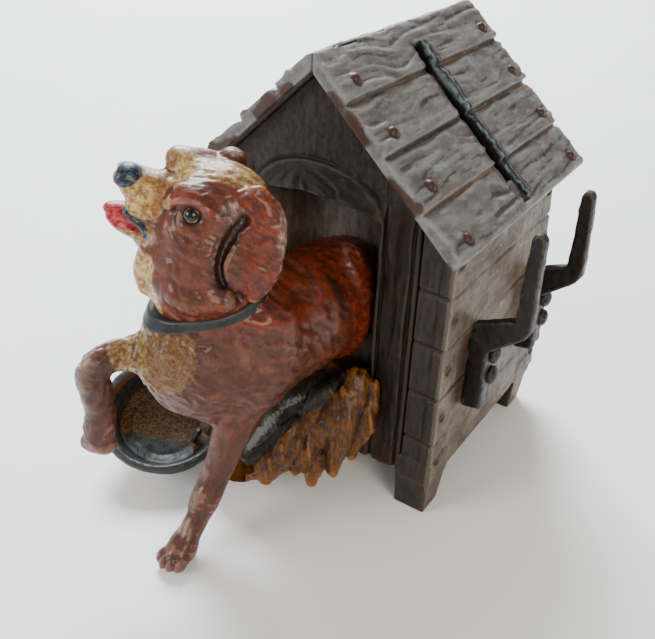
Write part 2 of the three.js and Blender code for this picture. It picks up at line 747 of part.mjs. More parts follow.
function makeHead() {
  return [
    headBall([0, 0, 0], [9.6, 8.2, 8.2], 14, 9),
    headBall([0.5, -5.2, -4.5], [7, 4.6, 6]),
    headBall([0.5, 5.2, -4.5], [7, 4.6, 6]),
    headBall([4, 0, -4], [5.5, 5, 5.5]),
    headLimb([
      [4, 0, -1.8, 6.8, 6],
      [10, 0, -1.2, 5.4, 5.2],
      [14.6, 0, 0, 4.2, 3.8],
    ]),
    headLimb([
      [2, 0, -8, 5.6, 3],
      [9, 0, -8.4, 4, 2],
      [15, 0, -7.4, 2.8, 1.4],
    ]),
    headBall([13, 0, -5.6], [5.8, 2.6, 1.5]),
    headBall([16.8, 0, 2.2], [2.4, 2.8, 2.4]),
    headBall([8, 4.4, 5.4], [3, 2.6, 2.4], 8, 6),
    headBall([6.6, -4.6, 4.6], [3, 2.4, 2.2], 8, 6),
    ear(-1),
    ear(1),
  ];
}

function makeDog() {
  const across = [0.975, -0.223, 0];
  const torso = limb([
    [1.4, 13.5, 44, 8.5, 9.5],
    [1.6, 6, 45.2, 10.6, 11.4],
    [1.8, -2, 45.8, 11.2, 12.8],
    [-0.4, -11, 45, 11.6, 13.4],
    [-4, -21, 44, 11.6, 13.6],
    [-6.8, -28, 44.5, 9.8, 12],
  ], across, 14, 2);
  const neck = limb([
    [-3.8, -20, 46, 11.5, 10],
    [-5.6, -24.5, 54.5, 10.2, 9.6],
    [-6.6, -25.5, 62, 10.2, 9.8],
    [-6, -22.5, 69, 8.4, 8.4],
  ], [0.8, 0.6, 0], 12, 2);
  const chest = ellipsoid([-8.4, -30.8, 44.2], [9, 8.2, 11.6]);
  const brisket = ellipsoid([-6, -25, 34], [7, 8, 7.5], new THREE.Matrix4(), 12, 8);
  const collar = limb([
    [-5.6, -24.8, 54.2, 11.2, 10.8],
    [-5.9, -25.2, 56.7, 11, 10.6],
  ], [0.8, 0.6, 0], 14, 1, false);
  const standingLeg = limb([
    [1.2, -17, 40, 5.5, 8],
    [-1, -22, 31, 4.8, 6],
    [-2.6, -25.4, 22.5, 3.7, 4.4],
    [-3.8, -29.4, 14.2, 3.1, 3.6],
    [-4.3, -33.2, 8.2, 2.8, 3.3],
    [-4.6, -37.6, 4, 2.8, 2.6],
  ], across, 10, 2);
  const standingPaw = ellipsoid([-4.4, -39.8, 2.6], [3.4, 4, 2.9], new THREE.Matrix4(), 12, 8);
  const raisedLeg = limb([
    [-13.5, -25, 41, 4.5, 5],
    [-15.6, -34, 43.6, 3.6, 4],
    [-18, -41, 45.2, 3.3, 3.6],
    [-19, -42.6, 41, 3.4, 3.4],
    [-19.2, -42.4, 33, 3.1, 3],
    [-19.4, -43, 27.8, 3.5, 3.2],
  ], across, 10, 2);
  const ground = block([-60, -60, -5], [60, 60, 0]);
  const rump = block([-30, RECESS_DEPTH - 0.5, 0], [30, 40, RIDGE_Z]);
  const screwHole = rod('y', [0, 7, DOG_SCREW_Z], 10, SCREW_RADIUS + GAP, 10);
  const limbs = [standingLeg, standingPaw, raisedLeg];
  const whole = join([torso, neck, chest, brisket, collar, ...limbs, ...makeHead()]);
  return cut(whole, [ground, rump, screwHole]);
}

// ---------------------------------------------------------------- the assembly

const bank = new THREE.Group();

function add(name, geometry, colour, roughness, metalness = 0) {
  const material = new THREE.MeshStandardMaterial({ color: colour, roughness, metalness });
  const mesh = new THREE.Mesh(geometry, material);
  mesh.name = name;
  bank.add(mesh);
  return mesh;
}

const WALL_PAINT = '#5f5148';
const FRONT_PAINT = '#3a2b24';
const ROOF_PAINT = '#655a53';
const BARE_IRON = '#4a4643';
const BRACKET_PAINT = '#2a2220';
const DOG_PAINT = '#7c3a22';
const STRAW_PAINT = '#8a6427';
const BOWL_PAINT = '#3c413c';

add('front_wall', surface(makeFrontWall()), FRONT_PAINT, 0.5);
add('back_wall', surface(makeBackWall()), WALL_PAINT, 0.5);
add('left_wall', surface(nailedWall(-1)), WALL_PAINT, 0.5);
add('right_wall', surface(cut(nailedWall(1), rivetHoles())), WALL_PAINT, 0.5);
add('roof', surface(makeRoof()), ROOF_PAINT, 0.5);
add('doorway_recess', surface(makeRecess()), FRONT_PAINT, 0.7);
add('base_plate', surface(makeBasePlate()), BARE_IRON, 0.6, 0.6);
add('trap_cover', surface(makeTrapCover()), BARE_IRON, 0.5, 0.7);

const trapRivet = add(
  'trap_rivet',
  rivet(FLOOR_HIGH - COVER_LOW + GAP, PIVOT_RADIUS, 2.8, 1.4, 20),
  BARE_IRON,
  0.5,
  0.7,
);
trapRivet.rotation.x = Math.PI / 2;
trapRivet.position.set(COVER_PIVOT_X, TRAP_Y, COVER_LOW - GAP / 2);

for (const [side, word] of [[-1, 'left'], [1, 'right']]) {
  const tie = add(`tie_bolt_${word}`, screw(TIE_TOP - FLOOR_LOW, TIE_RADIUS, 3.4, 1.8), BARE_IRON, 0.5, 0.7);
  tie.rotation.x = Math.PI / 2;
  tie.position.set(side * TIE_X, TIE_Y, FLOOR_LOW - GAP);

  const fixing = add(`floor_screw_${word}`, screw(7.6, SCREW_RADIUS, HEAD_RADIUS, 1.2), BARE_IRON, 0.5, 0.7);
  fixing.rotation.x = -Math.PI / 2;
  fixing.position.set(side * FLOOR_SCREW.x, FLOOR_SCREW.y, FLOOR_HIGH + GAP);

  const ear = add(`recess_screw_${word}`, screw(3.2, SCREW_RADIUS, HEAD_RADIUS, 1.1), BARE_IRON, 0.5, 0.7);
  ear.rotation.x = Math.PI;
  ear.position.set(side * EAR_SCREW_X, SHEET + GAP + RECESS_WALL + GAP, EAR_SCREW_Z);
}

for (const [name, z, length] of [['dog_screw', DOG_SCREW_Z, 7.4], ['straw_screw', STRAW_SCREW_Z, 8.4]]) {
  const fixing = add(name, screw(length, SCREW_RADIUS, HEAD_RADIUS + 0.4, 1.4), BARE_IRON, 0.5, 0.7);
  fixing.rotation.x = Math.PI;
  fixing.position.set(0, SHEET + GAP + RECESS_DEPTH + GAP, z);
}

for (const [word, y] of Object.entries(BRACKETS_Y)) {
  add(`bracket_${word}`, surface(makeBracket(y, PRONG_TOPS[word])), BRACKET_PAINT, 0.45);
  RIVET_HEIGHTS.forEach((z, index) => {
    const level = index === 0 ? 'upper' : 'lower';
    const shank = LEG_THICK + SHEET + 3 * GAP;
    const pin = add(`rivet_${word}_${level}`, rivet(shank, SCREW_RADIUS, 2, 1.1, 12), BRACKET_PAINT, 0.45);
    pin.rotation.z = Math.PI / 2;
    pin.position.set(HALF_WIDTH + GAP + LEG_THICK + GAP, y + BRACKET_LEG / 2 + 1, z);
  });
}

add('dog', surface(makeDog()), DOG_PAINT, 0.35);
add('straw_bed', surface(makeStraw()), STRAW_PAINT, 0.6);
add('food_bowl', surface(makeBowl()), BOWL_PAINT, 0.45);

const bowlScrewShape = screw(BOWL_SCREW_LENGTH, SCREW_RADIUS, HEAD_RADIUS - 0.3, 1);
const bowlScrew = add('bowl_screw', bowlScrewShape, BOWL_PAINT, 0.45);
bowlScrew.quaternion.setFromUnitVectors(new THREE.Vector3(0, 1, 0), bowlScrewWay);
bowlScrew.position.copy(bowlScrewPlace());

const box = new THREE.Box3().setFromObject(bank);
const middle = box.getCenter(new THREE.Vector3());
bank.position.set(-middle.x, -middle.y, -box.min.z);
bank.updateMatrixWorld(true);

export default bank;
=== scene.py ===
"""Looks of the cast iron still bank: a dog bursting out of a boarded kennel.

Shapes are worked out in millimetres in the kennel's own frame, where X = 0 is the middle of the
kennel, Y = 0 its front face and Z = 0 the surface that it stands on. Each casting is a distance
field, negative inside the metal, whose zero surface is meshed finely. The meshes are then moved
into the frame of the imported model, in metres.
"""

import math

import bpy
import numpy as np
from mathutils import Matrix, Vector, kdtree


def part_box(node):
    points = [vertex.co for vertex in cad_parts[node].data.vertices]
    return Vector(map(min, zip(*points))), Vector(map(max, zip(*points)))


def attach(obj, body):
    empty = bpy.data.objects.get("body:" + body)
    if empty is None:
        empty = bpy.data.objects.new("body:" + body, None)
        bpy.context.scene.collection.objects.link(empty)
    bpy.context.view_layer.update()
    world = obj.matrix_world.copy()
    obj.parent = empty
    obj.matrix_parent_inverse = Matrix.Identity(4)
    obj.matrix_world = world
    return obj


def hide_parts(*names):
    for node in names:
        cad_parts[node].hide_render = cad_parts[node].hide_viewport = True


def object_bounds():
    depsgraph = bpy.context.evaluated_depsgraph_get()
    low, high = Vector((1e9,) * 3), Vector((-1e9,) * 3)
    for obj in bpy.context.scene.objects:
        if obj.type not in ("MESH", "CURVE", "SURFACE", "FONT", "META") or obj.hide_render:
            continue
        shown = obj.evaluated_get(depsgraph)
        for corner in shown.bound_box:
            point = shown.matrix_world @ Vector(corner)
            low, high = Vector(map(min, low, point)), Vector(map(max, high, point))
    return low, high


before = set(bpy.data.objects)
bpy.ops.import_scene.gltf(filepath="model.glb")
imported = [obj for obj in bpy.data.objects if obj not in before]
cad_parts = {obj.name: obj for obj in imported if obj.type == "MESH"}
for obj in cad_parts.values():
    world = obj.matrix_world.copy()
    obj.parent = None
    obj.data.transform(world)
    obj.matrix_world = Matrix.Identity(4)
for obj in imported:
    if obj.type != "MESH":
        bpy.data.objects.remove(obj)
cad_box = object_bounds()

MM = 0.001
BAND_PROUD = 1.2  # the arch band stands this far in front of the kennel's front face
front_low, front_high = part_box("front_wall")
HOME = np.array([(front_low.x + front_high.x) / 2, front_low.y + BAND_PROUD * MM, 0.0])


def place(name):
    """The lowest and highest corners of a CAD node, in the kennel's frame, in millimetres."""
    low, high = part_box(name)
    return (np.array(low) - HOME) / MM, (np.array(high) - HOME) / MM


# ---------------------------------------------------------------- noise


def lattice(cell, seed):
    """A fixed number from 0 to 1 for each whole-number place."""
    mixed = cell[..., 0] * 374761393 + cell[..., 1] * 668265263 + cell[..., 2] * 974634777
    mixed = (mixed + seed * 1013904223) & 0xFFFFFFFF
    mixed = ((mixed ^ (mixed >> 13)) * 1274126177) & 0xFFFFFFFF
    return ((mixed ^ (mixed >> 16)) & 0xFFFF) / 65535.0


def noise(points, size, seed=0):
    """Smooth noise from -1 to 1, whose bumps are about size apart along each axis."""
    scaled = points / np.asarray(size, float)
    cell = np.floor(scaled).astype(np.int64)
    part = scaled - cell
    part = part * part * (3 - 2 * part)
    total = np.zeros(len(points))
    for corner in np.ndindex(2, 2, 2):
        weight = np.prod(np.where(corner, part, 1 - part), axis=1)
        total += weight * lattice(cell + np.array(corner), seed)
    return 2 * total - 1


def clouds(points, size, seed=0, octaves=3):
    """Noise with finer and weaker noise added to it."""
    size = np.asarray(size, float)
    return sum(noise(points, size / 2**n, seed + n) / 2**n for n in range(octaves)) / 1.6


def fade(value, low, high):
    """0 below low, 1 above high, and smooth between them."""
    part = np.clip((value - low) / (high - low), 0, 1)
    return part * part * (3 - 2 * part)


# ---------------------------------------------------------------- distance fields


def length(vectors):
    return np.sqrt(np.einsum("ij,ij->i", vectors, vectors))


def ball(points, centre, radii, turn=None):
    """An ellipsoid. The columns of turn are the directions of its radii."""
    away = points - np.asarray(centre, float)
    if turn is not None:
        away = away @ turn
    radii = np.broadcast_to(np.asarray(radii, float), (3,))
    share = length(away / radii)
    return share * (share - 1) / np.maximum(length(away / radii**2), 1e-6)


def block(points, low, high):
    low, high = np.asarray(low, float), np.asarray(high, float)
    out = np.abs(points - (low + high) / 2) - (high - low) / 2
    return length(np.maximum(out, 0)) + np.minimum(out.max(1), 0)


def outline(across, up, corners):
    """Signed distance to a closed outline of straight lines in a plane."""
    nearest = np.full(len(across), np.inf)
    sign = np.ones(len(across))
    for (ax, ay), (bx, by) in zip(corners, corners[1:] + corners[:1]):
        ex, ey = bx - ax, by - ay
        wx, wy = across - ax, up - ay
        share = np.clip((wx * ex + wy * ey) / (ex * ex + ey * ey), 0, 1)
        nearest = np.minimum(nearest, (wx - ex * share) ** 2 + (wy - ey * share) ** 2)
        rising = (up >= ay) & (up < by) & (ex * wy > ey * wx)
        falling = (up < ay) & (up >= by) & (ex * wy <= ey * wx)
        sign = np.where(rising | falling, -sign, sign)
    return sign * np.sqrt(nearest)


def merge(first, second, soft=0.6):
    """Both shapes, with a fillet about soft wide where they meet."""
    close = np.maximum(soft - np.abs(first - second), 0) / soft
    return np.minimum(first, second) - close * close * soft / 4


def carve(first, second, soft=0.6):
    """The first shape without the second."""
    return -merge(-first, second, soft)


def curve(stations, steps=4):
    """A smooth line through the stations, with every column carried along."""
    rows = np.asarray(stations, float)
    padded = np.vstack([2 * rows[0] - rows[1], rows, 2 * rows[-1] - rows[-2]])
    line = []
    for index in range(len(rows) - 1):
        p0, p1, p2, p3 = padded[index : index + 4]
        for share in np.linspace(0, 1, steps, endpoint=False):
            bend = (2 * p0 - 5 * p1 + 4 * p2 - p3) * share**2 + (3 * p1 - p0 - 3 * p2 + p3) * share**3
            line.append((2 * p1 + (p2 - p0) * share + bend) / 2)
    return np.array(line + [rows[-1]])


def limb(points, stations, across, steps=4):
    """A smooth limb through stations of x, y, z, half width and half height.

    across is the direction of the half width.
    """
    line = curve(stations, steps)
    margin = line[:, 3:].max() + 4
    near = ((points > line[:, :3].min(0) - margin) & (points < line[:, :3].max(0) + margin)).all(1)
    distance = np.full(len(points), 5.0)
    inside = points[near]
    best = np.full(len(inside), 5.0)
    for start, end in zip(line[:-1], line[1:]):
        axis = end[:3] - start[:3]
        span = np.linalg.norm(axis)
        axis = axis / span
        wide = np.asarray(across, float) - axis * np.dot(across, axis)
        wide /= np.linalg.norm(wide)
        high = np.cross(axis, wide)
        away = inside - start[:3]
        along = away @ axis
        share = np.clip(along / span, 0, 1)
        half_wide = start[3] + share * (end[3] - start[3])
        half_high = start[4] + share * (end[4] - start[4])
        small = np.minimum(half_wide, half_high)
        past = (along - share * span) / small
        reach = np.sqrt((away @ wide / half_wide) ** 2 + (away @ high / half_high) ** 2 + past**2)
        best = np.minimum(best, (reach - 1) * small)
    distance[near] = best
    return distance


# ---------------------------------------------------------------- from fields to meshes

BLOCK = 8  # grid points along the side of a block


def sample(shape, low, high, step):
    """Values of the field on a grid. Blocks far from the surface get only its sign."""
    blocks = np.ceil((high - low) / (step * BLOCK)).astype(int) + 1
    side = step * BLOCK
    corners = np.stack(np.meshgrid(*[np.arange(n) for n in blocks], indexing="ij"), -1).reshape(-1, 3)
    middles = low + (corners + 0.5) * side
    rough = shape(middles)
    values = np.where(rough < 0, -1.0, 1.0).reshape(blocks)
    values = values.repeat(BLOCK, 0).repeat(BLOCK, 1).repeat(BLOCK, 2)
    near = np.abs(rough) < side * 1.25 + 0.8
    inner = np.stack(np.meshgrid(*[np.arange(BLOCK)] * 3, indexing="ij"), -1).reshape(-1, 3)
    index = (corners[near][:, None, :] * BLOCK + inner[None]).reshape(-1, 3)
    values[tuple(index.T)] = shape(low + index * step)
    return values


def surface_net(values, low, step):
    """Vertices and four-sided faces of the surface where the values change sign."""
    inside = values < 0
    cells = [n - 1 for n in values.shape]
    count = np.zeros(cells, np.int8)
    for corner in np.ndindex(2, 2, 2):
        count += inside[tuple(slice(c, c + n) for c, n in zip(corner, cells))]
    cell = np.argwhere((count > 0) & (count < 8))
    number = np.full(cells, -1, np.int64)
    number[tuple(cell.T)] = np.arange(len(cell))
    total = np.zeros((len(cell), 3))
    crossings = np.zeros(len(cell))
    for axis in range(3):
        for first, second in np.ndindex(2, 2):
            start = np.insert([first, second], axis, 0)
            end = np.insert([first, second], axis, 1)
            a = values[tuple((cell + start).T)]
            b = values[tuple((cell + end).T)]
            crossed = (a < 0) != (b < 0)
            share = np.where(crossed, a / np.where(crossed, a - b, 1), 0)
            total += np.where(crossed[:, None], start + share[:, None] * (end - start), 0)
            crossings += crossed
    vertices = low + (cell + total / crossings[:, None]) * step
    faces = []
    for axis in range(3):
        one = np.eye(3, dtype=int)[axis]
        u, v = np.eye(3, dtype=int)[(axis + 1) % 3], np.eye(3, dtype=int)[(axis + 2) % 3]
        ahead = tuple(slice(o, None) for o in one)
        here = tuple(slice(None, -1) if o else slice(None) for o in one)
        edge = np.argwhere(inside[here] != inside[ahead])
        edge = edge[(edge @ u > 0) & (edge @ v > 0)]
        edge = edge[(edge @ u < cells[(axis + 1) % 3]) & (edge @ v < cells[(axis + 2) % 3])]
        ring = [number[tuple((edge - shift).T)] for shift in (u + v, v, 0 * u, u)]
        quads = np.stack(ring, 1)
        leaving = inside[tuple(edge.T)]
        faces.append(np.where(leaving[:, None], quads, quads[:, ::-1]))
    return vertices, np.concatenate(faces)


class Casting:
    """A meshed field: vertices in millimetres, faces, normals and painted masks."""

    def __init__(self, shape, low, high, step):
        low, high = np.asarray(low, float), np.asarray(high, float)
        self.vertices, self.faces = surface_net(sample(shape, low, high, step), low, step)
        self.masks = {}
        self.refresh()

    def refresh(self):
        """Works out the normals again after the vertices have moved."""
        a, b, c, d = (self.vertices[self.faces[:, n]] for n in range(4))
        facing = np.cross(c - a, d - b)
        self.normals = np.zeros_like(self.vertices)
        for n in range(4):
            for axis in range(3):
                corner = np.bincount(self.faces[:, n], facing[:, axis], len(self.vertices))
                self.normals[:, axis] += corner
        self.normals /= np.maximum(length(self.normals), 1e-9)[:, None]

    def average(self, values):
        """The mean of each vertex's neighbours along the edges."""
        total = np.zeros(len(values))
        count = np.zeros(len(values))
        for n in range(4):
            for other in (self.faces[:, (n + 1) % 4], self.faces[:, (n + 3) % 4]):
                total += np.bincount(self.faces[:, n], values[other], len(values))
                count += np.bincount(self.faces[:, n], minlength=len(values))
        return total / np.maximum(count, 1)

    def push(self, height):
        """Moves the surface outwards by height."""
        self.vertices = self.vertices + self.normals * height[:, None]
        self.refresh()

    def relief(self, rounds):
        """How far the smoothed surface lies above each vertex: positive in a hollow."""
        smooth = [self.vertices[:, axis] for axis in range(3)]
        for _ in range(rounds):
            smooth = [(values + self.average(values)) / 2 for values in smooth]
        return np.einsum("ij,ij->i", np.stack(smooth, 1) - self.vertices, self.normals)

    def weather(self, fine=0.05, broad=0.35):
        """Masks of the hollows, which are painted darker as shade and grime, and of the high places, where
        paint wears.
        """
        near, far = self.relief(5), self.relief(40)
        self.masks["hollow"] = fade(near, 0.1 * fine, fine) * 0.6 + fade(far, 0.1 * broad, broad) * 0.6
        self.masks["worn"] = fade(-near, 0.2 * fine, 1.2 * fine) * 0.6 + fade(-far, 0.2 * broad, broad) * 0.5

    def build(self, name, material, slot, body, *nodes, turn=None):
        """The Blender object of this casting, which stands for the CAD nodes."""
        vertices = self.vertices if turn is None else turn(self.vertices)
        return mesh_piece(name, vertices, self.faces, self.masks, material, slot, body, *nodes)


def mesh_piece(name, vertices, faces, masks, material, slot, body, *nodes):
    """An object made of the vertices, in millimetres in the kennel's frame, and the faces."""
    edge = 2e-5
    low, high = (np.array(corner) for corner in cad_box)
    world = np.clip(HOME + vertices * MM, low + edge, high - edge)
    mesh = bpy.data.meshes.new(name)
    sides = faces.shape[1]
    mesh.vertices.add(len(world))
    mesh.vertices.foreach_set("co", world.astype(np.float32).ravel())
    mesh.loops.add(faces.size)
    mesh.loops.foreach_set("vertex_index", faces.astype(np.int32).ravel())
    mesh.polygons.add(len(faces))
    mesh.polygons.foreach_set("loop_start", np.arange(0, faces.size, sides, dtype=np.int32))
    mesh.update(calc_edges=True)
    mesh.validate()
    mesh.shade_smooth()
    for mask, values in masks.items():
        attribute = mesh.attributes.new(mask, "FLOAT", "POINT")
        attribute.data.foreach_set("value", np.clip(values, 0, 1).astype(np.float32))
    piece = bpy.data.objects.new(name, mesh)
    bpy.context.scene.collection.objects.link(piece)
    mesh.materials.append(material)
    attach(piece, body)
    if nodes:
        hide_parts(*nodes)
    return piece


# ---------------------------------------------------------------- node materials


def colour(hexadecimal):
    """A linear colour from the usual six-figure form."""
    parts = [int(hexadecimal[n : n + 2], 16) / 255 for n in (1, 3, 5)]
    return tuple(p / 12.92 if p <= 0.04045 else ((p + 0.055) / 1.055) ** 2.4 for p in parts) + (1.0,)


class Finish:
    """Builds one node material, with sizes in millimetres."""

    def __init__(self, name, **constants):
        self.material = bpy.data.materials.new(name)
        self.material.use_nodes = True
        self.tree = self.material.node_tree
        self.shader = self.tree.nodes["Principled BSDF"]
        for socket, value in constants.items():
            self.shader.inputs[socket.replace("_", " ").title().replace("Ior", "IOR")].default_value = value
        self.position = self.add("ShaderNodeTexCoord").outputs["Object"]

    def add(self, kind, inputs=(), **settings):
        node = self.tree.nodes.new(kind)
        for key, value in settings.items():
            setattr(node, key, value)
        for key, value in dict(inputs).items():
            self.put(node.inputs[key], value)
        return node

    def put(self, socket, value):
        if isinstance(value, bpy.types.NodeSocket):
            self.tree.links.new(value, socket)
        elif isinstance(value, str):
            socket.default_value = colour(value)
        else:
            socket.default_value = value

    def spread(self, stretch):
        """Place on the piece in millimetres, with a pattern drawn out along each axis."""
        scale = tuple(1 / (MM * s) for s in stretch)
        node = self.add("ShaderNodeMapping", {"Vector": self.position, "Scale": scale})
        return node.outputs["Vector"]

    def noise(self, size, stretch=(1, 1, 1), detail=5.0, roughness=0.6, distortion=0.0):
        inputs = {"Vector": self.spread(stretch), "Scale": 1 / size, "Detail": detail}
        inputs.update({"Roughness": roughness, "Distortion": distortion})
        return self.add("ShaderNodeTexNoise", inputs).outputs["Fac"]

    def specks(self, size, stretch=(1, 1, 1)):
        """Distance from the nearest of many scattered points."""
        inputs = {"Vector": self.spread(stretch), "Scale": 1 / size}
        return self.add("ShaderNodeTexVoronoi", inputs).outputs["Distance"]

    def mask(self, name):
        return self.add("ShaderNodeAttribute", attribute_name=name).outputs["Fac"]

    def sum(self, operation, first, second=0.0, clamp=False):
        node = self.add("ShaderNodeMath", {0: first, 1: second}, operation=operation, use_clamp=clamp)
        return node.outputs[0]

    def fade(self, value, low, high, start=0.0, end=1.0):
        inputs = {"Value": value, "From Min": low, "From Max": high, "To Min": start, "To Max": end}
        node = self.add("ShaderNodeMapRange", inputs, interpolation_type="SMOOTHSTEP")
        return node.outputs["Result"]

    def mix(self, amount, first, second, blend="MIX"):
        node = self.add("ShaderNodeMix", data_type="RGBA", blend_type=blend)
        self.put(node.inputs[0], amount)
        self.put(node.inputs[6], first)
        self.put(node.inputs[7], second)
        return node.outputs[2]

    def ragged(self, mask, size=0.7, amount=0.9, edge=0.12, stretch=(1, 1, 1)):
        """A mask whose edge is broken up by noise, as worn paint is."""
        rough = self.sum("MULTIPLY", self.sum("SUBTRACT", self.noise(size, stretch), 0.5), amount * 2)
        return self.fade(self.sum("ADD", self.mask(mask), rough), 0.5 - edge, 0.5 + edge)

    def bump(self, height, distance, strength=1.0, under=None):
        inputs = {"Height": height, "Distance": distance * MM, "Strength": strength}
        if under is not None:
            inputs["Normal"] = under
        return self.add("ShaderNodeBump", inputs).outputs["Normal"]

    def paint(self, base, roughness, normal):
        self.put(self.shader.inputs["Base Color"], base)
        self.put(self.shader.inputs["Roughness"], roughness)
        self.put(self.shader.inputs["Normal"], normal)
        return self.material


def old_paint(
    name, base, second, shade_and_grime, wear, grain, stretch=(1, 1, 1), wear_amount=0.7, gloss=0.42, dusty=None
):
    """Paint of two mottled colours, with painted shade and grime in the hollows and wear on the high places.

    grain is the size of the brushed streaks, and stretch draws them out along an axis.
    """
    finish = Finish(name, coat_weight=0.06, coat_roughness=0.28, specular_ior_level=0.2)
    streaks = finish.noise(grain, stretch, detail=8.0, roughness=0.7)
    blotches = finish.noise(grain * 5, detail=3.0)
    shade = finish.mix(finish.fade(streaks, 0.35, 0.65), base, second)
    shade = finish.mix(finish.fade(blotches, 0.52, 0.72, 0.0, 0.55), shade, second)
    if dusty:
        dust = finish.sum("MULTIPLY", finish.fade(finish.noise(grain * 2.2), 0.5, 0.68), 0.5)
        shade = finish.mix(dust, shade, dusty)
    worn = finish.sum("MULTIPLY", finish.ragged("worn", 0.5, 0.35, 0.2), wear_amount)
    shade = finish.mix(worn, shade, wear)
    # Painted shade and grime darken the hollows.
    hollow_shade_and_grime = finish.sum("MULTIPLY", finish.ragged("hollow", 0.8, 0.25, 0.35), 0.85)
    shade = finish.mix(hollow_shade_and_grime, shade, shade_and_grime)
    pits = finish.specks(0.9)
    grains = finish.bump(streaks, 0.16, 0.8)
    cast = finish.bump(finish.noise(0.28, detail=3.0), 0.06, 0.8, grains)
    normal = finish.bump(finish.fade(pits, 0.02, 0.2), 0.05, 0.5, cast)
    rough = finish.fade(finish.noise(1.2, detail=4.0), 0.3, 0.7, gloss - 0.1, gloss + 0.16)
    return finish.paint(shade, finish.sum("ADD", rough, finish.sum("MULTIPLY", hollow_shade_and_grime, 0.15)), normal)


# ---------------------------------------------------------------- the kennel

HALF_WIDTH = 30.2
EAVE_X, EAVE_Z, RIDGE_Z = 33.2, 64.8, 96.2
SLOPE = math.atan2(RIDGE_Z - EAVE_Z, EAVE_X)
SLOPE_LENGTH = math.hypot(EAVE_X, RIDGE_Z - EAVE_Z)
ROOF_FRONT, ROOF_BACK = -3.5, 58.0
ROOF_THICK = 3.1
LAP = 0.7
BOARD = SLOPE_LENGTH / 4
SLOT_Y, SLOT_HALF = 27.6, 1.5
SLOT_START, SLOT_END, GROOVE_END = 6.0, 38.6, 44.0
SHEET = 2.6
SKIRT = 9.2
BACK_LEAN = 0.19
DEPTH = 57.5
POST_INSIDE = 23.0
DOOR_HALF, DOOR_SILL = 14.0, 14.0
DOOR_SHOULDER, DOOR_RISE = 66.2, 1.6
BAND_HALF, BAND_RISE = 14.6, 8.8
JOINT_PITCH, FIRST_JOINT = 11.7, 19.3
UNDER_RIDGE = RIDGE_Z - (ROOF_THICK + 0.3) / math.cos(SLOPE)


def wood_grain(along, across, height, seed, pitch=1.1):
    """Height of carved wood grain: long wavering ridges that run along one direction."""
    place_in = np.stack([along, across, height], 1)
    waver = noise(place_in, (9, 4, 9), seed) * 1.6 + noise(place_in, (22, 9, 20), seed + 5) * 2.2
    bent = np.stack([along / 9, (across + waver) / pitch, height / 9], 1)
    ridges = noise(bent, 1, seed + 1)
    fine = noise(np.stack([along / 5, (across + waver) / (pitch * 0.45), height / 9], 1), 1, seed + 2)
    return 0.7 * ridges + 0.4 * fine


def roof_height(distance, y, seed):
    """Height of the boards' upper surface over the sloping line, without the nails."""
    number = np.clip(np.floor(distance / BOARD), 0, 3)
    part = distance / BOARD - number
    lift = -LAP * (1 - part)
    edge = fade(part, 0.9, 1.0) * -0.25
    joint = np.exp(-((part * BOARD / 0.9) ** 2)) * -0.75
    seam_wave = noise(np.stack([y, number * 7, 0 * y], 1), (5, 1, 1), seed) * 0.2
    grain = wood_grain(y, distance + number * 31, 0 * y, seed) * 0.42
    rough = clouds(np.stack([distance, y, number], 1), (2.2, 3.5, 3), seed + 9) * 0.16
    return lift + edge + joint + seam_wave * (1 - part) + grain + rough


def slope_shape(side):
    """The field of one slope of the roof, in distance down the slope, Y and height above it."""

    def shape(points):
        distance, y, height = points.T
        wander = noise(points, (9, 30, 30), 41 + side) * 0.25
        top = height - roof_height(distance, y, 11 if side > 0 else 53)
        under = -ROOF_THICK - height
        front = ROOF_FRONT + 0.15 + wander - y
        back = y - ROOF_BACK + 0.15 + wander
        foot = distance - SLOPE_LENGTH + 0.15
        x = distance * math.cos(SLOPE) + height * math.sin(SLOPE)
        body = np.maximum.reduce([top, under, front, back, foot, -x])
        for number in range(4):
            middle = (number + 0.72) * BOARD
            for nail_y in (ROOF_FRONT + 6, ROOF_BACK - 4):
                spot = np.array([middle, nail_y, -LAP * 0.3])
                body = carve(body, ball(points, spot + (0, 0, 0.9), (1.9, 1.8, 1.2)), 0.5)
                body = merge(body, ball(points, spot - (0.2, 0, 0.1), (1.1, 1.0, 0.9)), 0.25)
        if side > 0:
            body = carve_slot(body, points)
        return body

    return shape


def carve_slot(body, points):
    """The coin slot, with its eroded lip and a shallow groove that runs on below it."""
    eroded = noise(points, (5, 1.5, 3), 71) * 0.1
    low_y, high_y = SLOT_Y - SLOT_HALF, SLOT_Y + SLOT_HALF
    slot = block(points, (SLOT_START, low_y, -8), (SLOT_END, high_y, 3)) + eroded
    groove = block(points, (SLOT_START, low_y, -1.5), (GROOVE_END, high_y, 3)) + eroded
    bevel_mid = np.array([0, SLOT_Y - SLOT_HALF - 0.3, 0.3])
    lip = block(points, bevel_mid + (SLOT_START, -0.6, -0.9), bevel_mid + (GROOVE_END - 2, 0.6, 3)) + eroded
    return carve(carve(carve(body, slot, 0.5), groove, 0.5), lip, 0.9)


